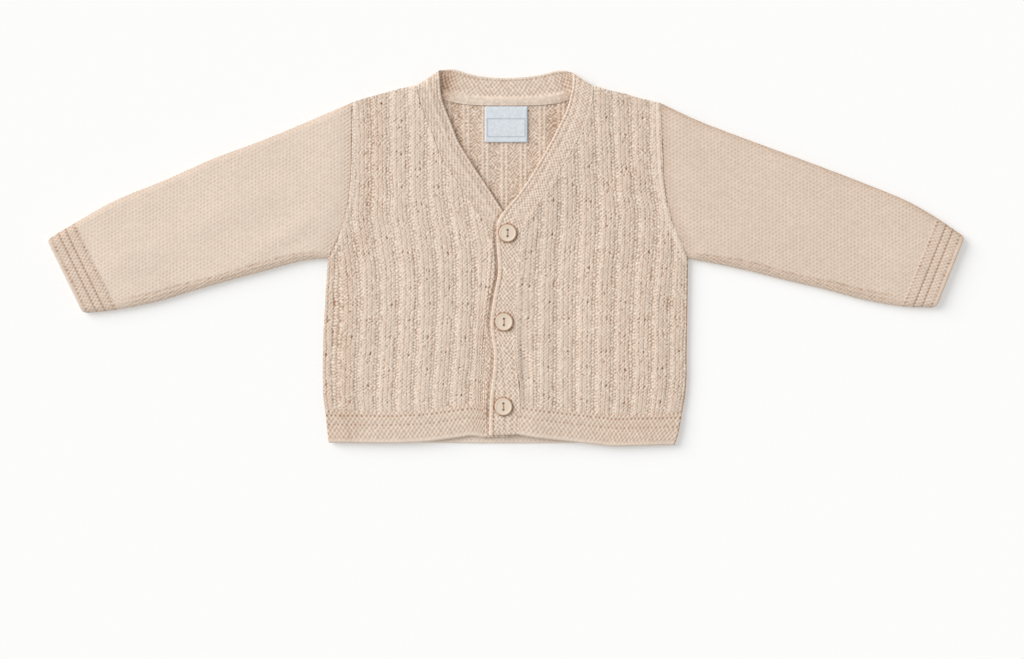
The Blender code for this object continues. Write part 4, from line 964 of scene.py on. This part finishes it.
def frontBand():
    # one strip up the right front, folded over both shoulders and down the left front: at each station a
    # straight line from seam edge to free edge, at its level plus half the wall and the stitches, rounded
    # off at the edges
    knit = bandKnit
    stations, (seamX, seamY, freeX, freeY, level), neckStart, neckEnd = bandCourse(knit["columnStep"])
    share = np.linspace(0.0, 1.0, knit["rowCount"] + 1)[:, None]
    x = seamX + (freeX - seamX) * share
    y = seamY + (freeY - seamY) * share
    width = np.hypot(freeX - seamX, freeY - seamY)
    station = np.broadcast_to(stations, x.shape)
    acrossBand = width * share
    fromFree = width - acrossBand
    onNeck = (stations > neckStart) & (stations < neckEnd)
    strip = np.where(onNeck, 1 - smoothStep(*knit["stripEnds"], np.abs(seamX)), 0.0)
    inStrip = 1 - smoothStep(knit["stripShare"], knit["stripShare"] + knit["stripSlope"], share)
    smooth = strip * inStrip
    stripLevel = garment["backWall"] + 0.1 + knit["stripWall"] / 2
    middleZ = level + (stripLevel - knit["wall"] / 2) * smooth
    wall = knit["wall"] - (knit["wall"] - knit["stripWall"]) * smooth
    hangFrom, hangMost, hangReach = knit["hang"]
    onSlope = smoothStep(150.0, 165.0, y) * smoothStep(neckStart - 1.0, neckStart - 14.0, station)
    middleZ = middleZ - np.clip(level - hangFrom, 0.0, hangMost) * onSlope * bell(fromFree, hangReach)

    # the lower layer sinks beside the edge that laps over it, and is painted darker there: painted shade
    lapTop, lapWhole = knit["lapFrom"]
    lapping = (stations > neckEnd) & (freeY < lapTop)
    order = np.argsort(freeY[lapping])
    fromLap = np.interp(y, freeY[lapping][order], freeX[lapping][order]) - x
    below = (station < neckStart) & (y < freeY[lapping].max())
    deep = smoothCurve(*columnsOf(knit["gapDepth"]), y)
    gap = deep * smoothStep(3.0, 0.8, fromLap) * below
    sink = knit["lapSink"] * deep * smoothStep(2.5, 1.0, fromLap) * below

    # moss stitch of three sizes: round the neck, on the slopes and where the band is buttoned
    buttoned = smoothStep(lapTop, lapWhole, y) * ~onNeck
    slope = (1 - buttoned) * ~onNeck
    wander = 0.45 + 0.3 * buttoned
    along = station + wander * softNoise(station, acrossBand, 3.5, 52)
    over = acrossBand + wander * softNoise(station, acrossBand, 3.5, 53)
    moss = mossKnit(along / knit["mossAlong"], over / knit["mossRow"]) * (1 - buttoned - slope)
    moss = moss + buttoned * mossKnit(along / knit["closeAlong"], over / knit["closeRow"])
    moss = moss + slope * mossKnit(along / knit["slopeAlong"], over / knit["slopeRow"])
    courses = 0.4 + 0.2 * np.cos(2 * np.pi * y / knit["slopeCourse"])
    wales = 0.5 + courses * np.cos(2 * np.pi * x / knit["slopeWale"])
    moss = moss + slope * (station < neckStart) * 0.6 * (wales - moss)
    uneven = stitchNoise(station / knit["mossAlong"] * 2, acrossBand / knit["mossRow"], 51)
    ridges = sum(rise * np.cos(2 * np.pi * over / pitch) for pitch, rise in knit["ridges"]) * ~onNeck
    ridges = ridges * (1 - 0.5 * buttoned * smoothStep(50.0, 90.0, y))
    stitches = (0.06 + 0.88 * moss) * (1 + 0.25 * uneven) + ridges
    stitches = stitches + buttoned * 0.15 * (stitches - 0.5)
    stitches = stitches + gap * (0.35 + 0.25 * uneven - stitches)

    # the strip is knitted finer, and the free edge ends in a chain with a groove beside it
    stripKnit = 0.45 + 0.4 * mossKnit(station / 2.2, acrossBand / 1.2) + 0.12 * uneven
    stitches = stitches * (1 - smooth) + smooth * stripKnit
    lapped = smoothStep(165.0, 150.0, y) * (station > neckEnd)
    chainWidth = knit["chain"] + (knit["overChain"] - knit["chain"]) * lapped
    chain = smoothStep(chainWidth + 0.5, chainWidth - 0.3, fromFree)
    chainLoops = 0.62 + (0.2 - 0.1 * lapped) * np.cos(2 * np.pi * station / knit["chainPitch"])
    chainLoops = chainLoops + 0.15 * uneven
    stitches = stitches * (1 - chain) + chain * chainLoops
    groove = bell(fromFree - chainWidth - 0.6, 0.5) * (1 - smooth)
    rise = knit["stitchRise"] * (stitches - 0.5) + 0.1 * chain - 0.25 * groove
    tone = 0.4 * uneven * (1 - chain)

    shade = np.clip(0.86 - 0.9 * stitches, 0.0, 1.0) + 0.2 * groove + 0.2 * gap
    # painted shade in the neck's corners, under the folds
    corner = smoothStep(0.0, 4.0, fromFree) * onNeck
    for place, depth in knit["cornerShade"]:
        shade = shade + depth * corner * bell(x - place, knit["cornerHalf"])
    # painted shadow in a ring round each button
    for middleX, middleY in button["places"]:
        ring = np.hypot(x - middleX, y - middleY) - button["radius"]
        shade = shade + 0.5 * bell(ring - 0.3, 0.55)

    ends = np.minimum(station, stations[-1] - station)
    profile = edgeProfile(np.minimum(fromFree, ends), *knit["freeRound"])
    profile = profile * edgeProfile(acrossBand, garment["seamRound"], garment["seamShare"])
    stripEdge = knit["stripSink"] * strip * bell(acrossBand, 1.8)
    topZ = middleZ + (wall / 2 + rise) * profile - sink - stripEdge
    grid = np.stack([x, y, topZ], axis=-1)
    low = np.zeros(len(stations), int)
    high = np.full(len(stations), knit["rowCount"])
    layers = {"shade": shade, "tone": tone, "uv": (station, acrossBand)}
    underZ = np.maximum(middleZ - wall / 2, 0.0)
    return makeShell("frontBandKnit", grid, low, high, underZ, knit["underStep"], layers)


# Neck label
label = {
    "width": 28.5,
    "height": 23.9,
    "top": 226.2,
    "wall": 1.0,
    "curl": 0.25,
    "step": 0.4,
    "underStep": 12,
    "edgeRound": (0.8, 0.5),
    "frameX": (-12.3, 12.7),    # woven frame line
    "frameY": (206.0, 218.0),
    "frameHalf": 0.35,
}


def wovenLabel():
    # a flat woven tag whose lower corners curl up: level + curl * across cubed * (1 - up) squared
    size = label
    x = np.linspace(-size["width"] / 2, size["width"] / 2, int(size["width"] / size["step"]) + 1)
    y = np.linspace(size["top"] - size["height"], size["top"], int(size["height"] / size["step"]) + 1)
    y = np.broadcast_to(y[:, None], (len(y), len(x)))
    x = np.broadcast_to(x, y.shape)
    across = 2 * x / size["width"]
    up = 1 - (size["top"] - y) / size["height"]
    curl = size["curl"] * np.abs(across) ** 3 * (1 - up) ** 2
    underZ = garment["backWall"] + garment["layerGap"] + curl
    edge = np.minimum(np.minimum(x - x.min(), x.max() - x), np.minimum(y - y.min(), y.max() - y))
    top = underZ + size["wall"] * edgeProfile(edge, *size["edgeRound"])
    top += 0.03 * softNoise(x, y, 3.0, 61)
    frameLine = np.zeros_like(x)
    upright = (size["frameX"], x, size["frameY"], y)
    level = (size["frameY"], y, size["frameX"], x)
    for lines, here, ends, other in (upright, level):
        inside = (other > ends[0] - 0.3) & (other < ends[1] + 0.3)
        for line in lines:
            frameLine = np.maximum(frameLine, bell(here - line, size["frameHalf"]) * inside)
    low = np.zeros(x.shape[1], int)
    high = np.full(x.shape[1], len(y) - 1)
    layers = {"shade": frameLine, "tone": softNoise(x, y, 1.1, 62), "uv": (x, y)}
    return makeShell("wovenLabel", np.stack([x, y, top], -1), low, high, underZ, size["underStep"], layers)


# Buttons, and the thread that holds them
button = {
    "radius": 6.0,
    "height": 2.0,
    "level": 7.2,
    "holeRadius": 0.85,
    "holeSpacing": 4.1,
    "places": ((1.1, 141.7), (-1.3, 82.7), (-1.7, 26.5)),
    "sides": 96,
    # shares of radius and height from the middle of the dish over the rim to the middle of the back
    "profile": ((0.0, 0.86), (0.30, 0.86), (0.58, 0.865), (0.68, 0.875), (0.74, 0.90), (0.78, 0.94),
                (0.82, 0.98), (0.86, 1.0), (0.90, 0.98), (0.95, 0.90), (0.985, 0.74), (1.0, 0.5),
                (0.99, 0.33), (0.96, 0.16), (0.91, 0.06), (0.85, 0.01), (0.80, 0.0), (0.0, 0.0)),
    "sharpAngle": 40.0,
    "cutterReach": (-1.0, 4.0), # below and above the button's back
    "cutterSides": 32,
    "rimShade": (0.87, 0.985),  # painted shade on the rim from here outwards
    "threadRadius": 0.19,
    "threadSides": 10,
    "threadPoints": 33,
    "threadApart": 0.4,
    "threadInset": 0.45,        # the thread goes down this far short of each hole's middle
    "threadTop": 1.82,          # height of its middle over the button's back
    "threadDive": 2.1,          # and how far its ends go down
}


def meshObject(name, vertices, faces):
    mesh = bpy.data.meshes.new(name)
    mesh.from_pydata((np.asarray(vertices) * mm).tolist(), [], faces)
    mesh.shade_smooth()
    piece = bpy.data.objects.new(name, mesh)
    bpy.context.scene.collection.objects.link(piece)
    return piece


def turnedSolid(name, profile, sides, centre):
    # a profile of radius and height turned about its own axis, closed by a point at each end
    turn = np.linspace(0.0, 2 * np.pi, sides, endpoint=False)
    radius, height = np.array(profile[1:-1]).T
    x = radius[:, None] * np.cos(turn) + centre[0]
    y = radius[:, None] * np.sin(turn) + centre[1]
    z = np.broadcast_to(height[:, None] + centre[2], x.shape)
    ring = np.stack([x, y, z], -1).reshape(-1, 3)
    ends = [[centre[0], centre[1], centre[2] + point[1]] for point in (profile[0], profile[-1])]
    vertices = np.concatenate([ring, ends])
    side = np.arange(sides)
    after = (side + 1) % sides
    faces = []
    for row in range(len(radius) - 1):
        inner = row * sides
        outer = inner + sides
        faces += np.stack([inner + side, outer + side, outer + after, inner + after], -1).tolist()
    last = (len(radius) - 1) * sides
    faces += [[len(ring), int(one), int(two)] for one, two in zip(side, after)]
    faces += [[len(ring) + 1, last + int(two), last + int(one)] for one, two in zip(side, after)]
    return meshObject(name, vertices, faces)


def twoHoleButton(number):
    # the rim and dish turned in one, with two round holes cut one above the other
    size = button
    x, y = size["places"][number]
    centre = (x, y - garment["layDepth"] / 2, size["level"])
    profile = [(out * size["radius"], up * size["height"]) for out, up in size["profile"]]
    turned = turnedSolid(f"sewnButton{number + 1}", profile, size["sides"], centre)
    below, above = size["cutterReach"]
    for way in (-1, 1):
        ends = [(0.0, above), (size["holeRadius"], above), (size["holeRadius"], below), (0.0, below)]
        at = (x, centre[1] + way * size["holeSpacing"] / 2, size["level"])
        cutter = turnedSolid("holeCutter", ends, size["cutterSides"], at)
        cut = turned.modifiers.new("hole", "BOOLEAN")
        cut.object = cutter
        cut.solver = "EXACT"
        bpy.context.view_layer.update()
        solid = bpy.data.meshes.new_from_object(turned.evaluated_get(bpy.context.evaluated_depsgraph_get()))
        turned.modifiers.clear()
        turned.data = solid
        bpy.data.objects.remove(cutter, do_unlink=True)
    turned.data.shade_smooth()
    turned.data.set_sharp_from_angle(angle=math.radians(size["sharpAngle"]))
    corners = np.array([vertex.co for vertex in turned.data.vertices]) / mm
    # painted shade on the rim's outer edge
    out = np.hypot(corners[:, 0] - centre[0], corners[:, 1] - centre[1]) / size["radius"]
    rim = turned.data.attributes.new("shade", "FLOAT", "POINT")
    rim.data.foreach_set("value", smoothStep(*size["rimShade"], out).astype(np.float32))
    return turned


def buttonThread(number):
    # two turns of thread over the bridge between the holes and down through both, each a round section
    # carried along its line
    size = button
    x, y = size["places"][number]
    reach = np.linspace(-1.0, 1.0, size["threadPoints"])
    sides = size["threadSides"]
    turn = np.linspace(0.0, 2 * np.pi, sides, endpoint=False)
    sideways = np.array([1.0, 0.0, 0.0])
    along = (size["holeSpacing"] / 2 - size["threadInset"]) * np.clip(reach * 1.12, -1.0, 1.0)
    dive = size["threadDive"] * smoothStep(0.82, 1.0, np.abs(reach))
    rise = size["level"] + size["threadTop"] - dive - 0.1 * np.abs(reach)
    rings = []
    faces = []
    for way in (-0.5, 0.5):
        lineX = x + way * size["threadApart"] + 0 * reach
        line = np.stack([lineX, y - garment["layDepth"] / 2 + along, rise], -1)
        run = np.gradient(line, axis=0)
        run /= np.linalg.norm(run, axis=1)[:, None]
        upwards = np.cross(run, sideways)
        ring = np.cos(turn)[:, None] * sideways + np.sin(turn)[:, None] * upwards[:, None]
        start = sum(len(part) for part in rings)
        rings.append((line[:, None] + size["threadRadius"] * ring).reshape(-1, 3))
        for row in range(len(line) - 1):
            for side in range(sides):
                after = (side + 1) % sides
                corner = start + row * sides
                faces.append([corner + side, corner + after, corner + sides + after, corner + sides + side])
        faces.append([start + side for side in range(sides)][::-1])
        faces.append([start + (len(line) - 1) * sides + side for side in range(sides)])
    return meshObject(f"buttonThread{number + 1}", np.concatenate(rings), faces)


# How often each material's patterns repeat in a millimetre
pattern = {
    "fibre": 2.6,           # a real fibre is too fine to show, so it is drawn about twenty times coarser
    "patch": 0.034,         # soft patches, 30 across
    "satinRib": 0.62,       # ribs of the weft, 0.5 apart, as the wave node makes 3.2 of them a repeat
    "streak": 0.24,         # cloudy streaks in the resin, 4 across
    "twist": 0.9,           # plies of the thread, 0.7 apart along it and coarser than real ones, to show
    "paperGrain": 0.9,      # the paper's grain, also drawn coarser than it is
}


def colourOf(hexCode):
    # linear colour of an sRGB hex code
    shares = [int(hexCode[place:place + 2], 16) / 255 for place in (0, 2, 4)]
    return [v / 12.92 if v <= 0.04045 else ((v + 0.055) / 1.055) ** 2.4 for v in shares] + [1.0]


def addNode(tree, kind, settings=None, links=None):
    # one shader node with its properties, and a link or a value for each input, by name or number
    node = tree.nodes.new(kind)
    for name, value in (settings or {}).items():
        setattr(node, name, value)
    for name, source in (links or {}).items():
        if isinstance(source, bpy.types.NodeSocket):
            tree.links.new(source, node.inputs[name])
        else:
            node.inputs[name].default_value = source
    return node


def newMaterial(name, roughness, settings):
    # a material with one principled shader, and the place and attributes that its patterns read
    material = bpy.data.materials.new(name)
    material.use_nodes = True
    tree = material.node_tree
    tree.nodes.clear()
    shader = addNode(tree, "ShaderNodeBsdfPrincipled", None, {"Roughness": roughness, **settings})
    addNode(tree, "ShaderNodeOutputMaterial", None, {"Surface": shader.outputs[0]})
    place = addNode(tree, "ShaderNodeTexCoord").outputs["Object"]
    return material, tree, shader, place


def knitYarn():
    # cotton and acrylic yarn, knitted: matt, with a fine fuzz. Its colour goes from light to warm and dark
    # with the shade attribute, which is painted shade in the gaps between stitches and where pieces mark it
    material, tree, shader, place = newMaterial("knit_cotton_yarn", 0.92, {
        "Sheen Weight": 0.12, "Sheen Roughness": 0.5, "Specular IOR Level": 0.25})
    shade = addNode(tree, "ShaderNodeAttribute", {"attribute_name": "shade"}).outputs["Fac"]
    tone = addNode(tree, "ShaderNodeAttribute", {"attribute_name": "tone"}).outputs["Fac"]
    fibre = addNode(tree, "ShaderNodeTexNoise", None, {
        "Vector": place, "Scale": pattern["fibre"] / mm, "Detail": 3.0}).outputs[0]
    patches = addNode(tree, "ShaderNodeTexNoise", None, {
        "Vector": place, "Scale": pattern["patch"] / mm, "Detail": 2.0}).outputs[0]
    depth = addNode(tree, "ShaderNodeMath", {"operation": "POWER"}, {0: shade, 1: 1.3}).outputs[0]
    yarn = addNode(tree, "ShaderNodeMix", {"data_type": "RGBA"}, {
        0: depth, 6: colourOf("E9D9C9"), 7: colourOf("A58063")}).outputs[2]
    value = 0.87
    for source, share in ((tone, 0.10), (fibre, 0.16), (patches, 0.10)):
        value = addNode(tree, "ShaderNodeMath", {"operation": "MULTIPLY_ADD"}, {
            0: source, 1: share, 2: value}).outputs[0]
    colour = addNode(tree, "ShaderNodeHueSaturation", None, {"Color": yarn, "Value": value}).outputs[0]
    bump = addNode(tree, "ShaderNodeBump", None, {"Strength": 0.35, "Distance": 0.12 * mm, "Height": fibre})
    tree.links.new(colour, shader.inputs["Base Color"])
    tree.links.new(bump.outputs[0], shader.inputs["Normal"])
    return material


def satinWeave():
    # polyester tape, satin-woven: smooth and pale blue-grey, with fine ribs and a darker frame line woven in
    material, tree, shader, place = newMaterial("woven_satin_tape", 0.6, {"Sheen Weight": 0.1})
    shade = addNode(tree, "ShaderNodeAttribute", {"attribute_name": "shade"}).outputs["Fac"]
    tone = addNode(tree, "ShaderNodeAttribute", {"attribute_name": "tone"}).outputs["Fac"]
    ribs = addNode(tree, "ShaderNodeTexWave", {"bands_direction": "Y"}, {
        "Vector": place, "Scale": pattern["satinRib"] / mm, "Distortion": 0.6}).outputs["Fac"]
    cloth = addNode(tree, "ShaderNodeMix", {"data_type": "RGBA"}, {
        0: ribs, 6: colourOf("CDD4DA"), 7: colourOf("D8DDE1")}).outputs[2]
    lined = addNode(tree, "ShaderNodeMix", {"data_type": "RGBA"}, {
        0: shade, 6: cloth, 7: colourOf("A9B2BA")}).outputs[2]
    value = addNode(tree, "ShaderNodeMath", {"operation": "MULTIPLY_ADD"}, {
        0: tone, 1: 0.07, 2: 1.0}).outputs[0]
    colour = addNode(tree, "ShaderNodeHueSaturation", None, {"Color": lined, "Value": value}).outputs[0]
    bump = addNode(tree, "ShaderNodeBump", None, {"Strength": 0.3, "Distance": 0.08 * mm, "Height": ribs})
    tree.links.new(colour, shader.inputs["Base Color"])
    tree.links.new(bump.outputs[0], shader.inputs["Normal"])
    return material


def mouldedResin():
    # polyester resin, moulded and tumbled to a satin: beige with faint cloudy streaks, painted shade on its
    # rim
    material, tree, shader, place = newMaterial("moulded_button_resin", 0.42, {"Specular IOR Level": 0.4})
    cloud = addNode(tree, "ShaderNodeTexNoise", None, {
        "Vector": place, "Scale": pattern["streak"] / mm, "Detail": 3.0}).outputs[0]
    rim = addNode(tree, "ShaderNodeAttribute", {"attribute_name": "shade"}).outputs["Fac"]
    face = addNode(tree, "ShaderNodeMix", {"data_type": "RGBA"}, {
        0: cloud, 6: colourOf("E5D4C2"), 7: colourOf("DAC7B3")}).outputs[2]
    colour = addNode(tree, "ShaderNodeMix", {"data_type": "RGBA"}, {
        0: rim, 6: face, 7: colourOf("B08E70")}).outputs[2]
    tree.links.new(colour, shader.inputs["Base Color"])
    return material


def sewingThread():
    # polyester thread, twisted: a shade browner than the yarn, with lighter and darker plies
    material, tree, shader, place = newMaterial("sewing_thread", 0.8, {"Sheen Weight": 0.1})
    twist = addNode(tree, "ShaderNodeTexWave", {"bands_direction": "DIAGONAL"}, {
        "Vector": place, "Scale": pattern["twist"] / mm}).outputs["Fac"]
    colour = addNode(tree, "ShaderNodeMix", {"data_type": "RGBA"}, {
        0: twist, 6: colourOf("A98668"), 7: colourOf("C4A386")}).outputs[2]
    tree.links.new(colour, shader.inputs["Base Color"])
    return material


def mattPaper():
    # bleached paper, matt: nearly white with a faint grain, and glowing a little, painted light that no lamp
    # gives, so that the shadows on it stay pale
    material, tree, shader, place = newMaterial("pale_matt_paper", 0.95, {
        "Specular IOR Level": 0.1, "Emission Color": colourOf("FFFFFE"),
        "Emission Strength": view["floorGlow"]})
    grain = addNode(tree, "ShaderNodeTexNoise", None, {
        "Vector": place, "Scale": pattern["paperGrain"] / mm}).outputs[0]
    colour = addNode(tree, "ShaderNodeMix", {"data_type": "RGBA"}, {
        0: grain, 6: colourOf("DFDFDE"), 7: colourOf("E1E1E0")}).outputs[2]
    tree.links.new(colour, shader.inputs["Base Color"])
    return material


# Floor, light and camera, with places in metres
view = {
    "x": 0.004,
    "y": -0.0478,
    "height": 1.896,
    "lens": 100.0,
    "sensor": 36.0,
    "floorHalf": 1.5,
    "floorLevel": -0.0003,
    "floorGlow": 0.2,
    "worldLight": 0.62,
    "keyLight": 2.45,
    "keyAngle": 45.0,           # degrees across the soft lamp
    "keyTilt": (-24.8, -53.1),  # degrees from straight down: towards the near edge, and to the right
}


def setStage():
    # a plain sheet of paper under the garment, an even sky, one soft lamp and a camera overhead
    half = view["floorHalf"] / mm
    level = view["floorLevel"] / mm
    corners = [(-half, -half, level), (half, -half, level), (half, half, level), (-half, half, level)]
    floor = meshObject("paleFloor", corners, [[0, 1, 2, 3]])
    floor.data.materials.append(mattPaper())

    world = bpy.data.worlds.new("softStudio")
    world.use_nodes = True
    sky = world.node_tree.nodes["Background"]
    sky.inputs["Color"].default_value = colourOf("FFFFFF")
    sky.inputs["Strength"].default_value = view["worldLight"]
    bpy.context.scene.world = world
    lamp = bpy.data.lights.new("keySoftbox", "SUN")
    lamp.energy = view["keyLight"]
    lamp.angle = math.radians(view["keyAngle"])
    key = bpy.data.objects.new("keySoftbox", lamp)
    key.rotation_euler = [math.radians(turn) for turn in (*view["keyTilt"], 0.0)]
    bpy.context.scene.collection.objects.link(key)

    lens = bpy.data.cameras.new("overheadCamera")
    lens.lens = view["lens"]
    lens.sensor_width = view["sensor"]
    lens.dof.use_dof = False
    camera = bpy.data.objects.new("overheadCamera", lens)
    camera.location = (view["x"], view["y"], view["height"])
    bpy.context.scene.collection.objects.link(camera)
    bpy.context.scene.camera = camera
    bpy.context.scene.view_settings.view_transform = "Standard"
    print("floor, light and camera done")


def fasten(piece, material, node):
    # the piece takes its material, rides on the one body and stands for its solid
    piece.data.materials.clear()
    piece.data.materials.append(material)
    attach(piece, "root")
    if node:
        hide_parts(node)


def buildGarment():
    # every piece, each in place of its solid
    yarn = knitYarn()
    tape = satinWeave()
    resin = mouldedResin()
    thread = sewingThread()
    back = backPanel()
    fasten(back, yarn, "back")
    print("back done")
    frontRight = frontPanel("right")
    fasten(frontRight, yarn, "front_right")
    frontLeft = frontPanel("left")
    fasten(frontLeft, yarn, "front_left")
    print("fronts done")
    sleeveRight = sleeveTube("right")
    fasten(sleeveRight, yarn, "sleeve_right")
    sleeveLeft = sleeveTube("left")
    fasten(sleeveLeft, yarn, "sleeve_left")
    print("sleeves done")
    band = frontBand()
    fasten(band, yarn, "front_band")
    tag = wovenLabel()
    fasten(tag, tape, "label")
    for number in range(len(button["places"])):
        fasten(twoHoleButton(number), resin, f"button_{number + 1}")
        fasten(buttonThread(number), thread, None)
    print("band, label and buttons done")


buildGarment()
setStage()
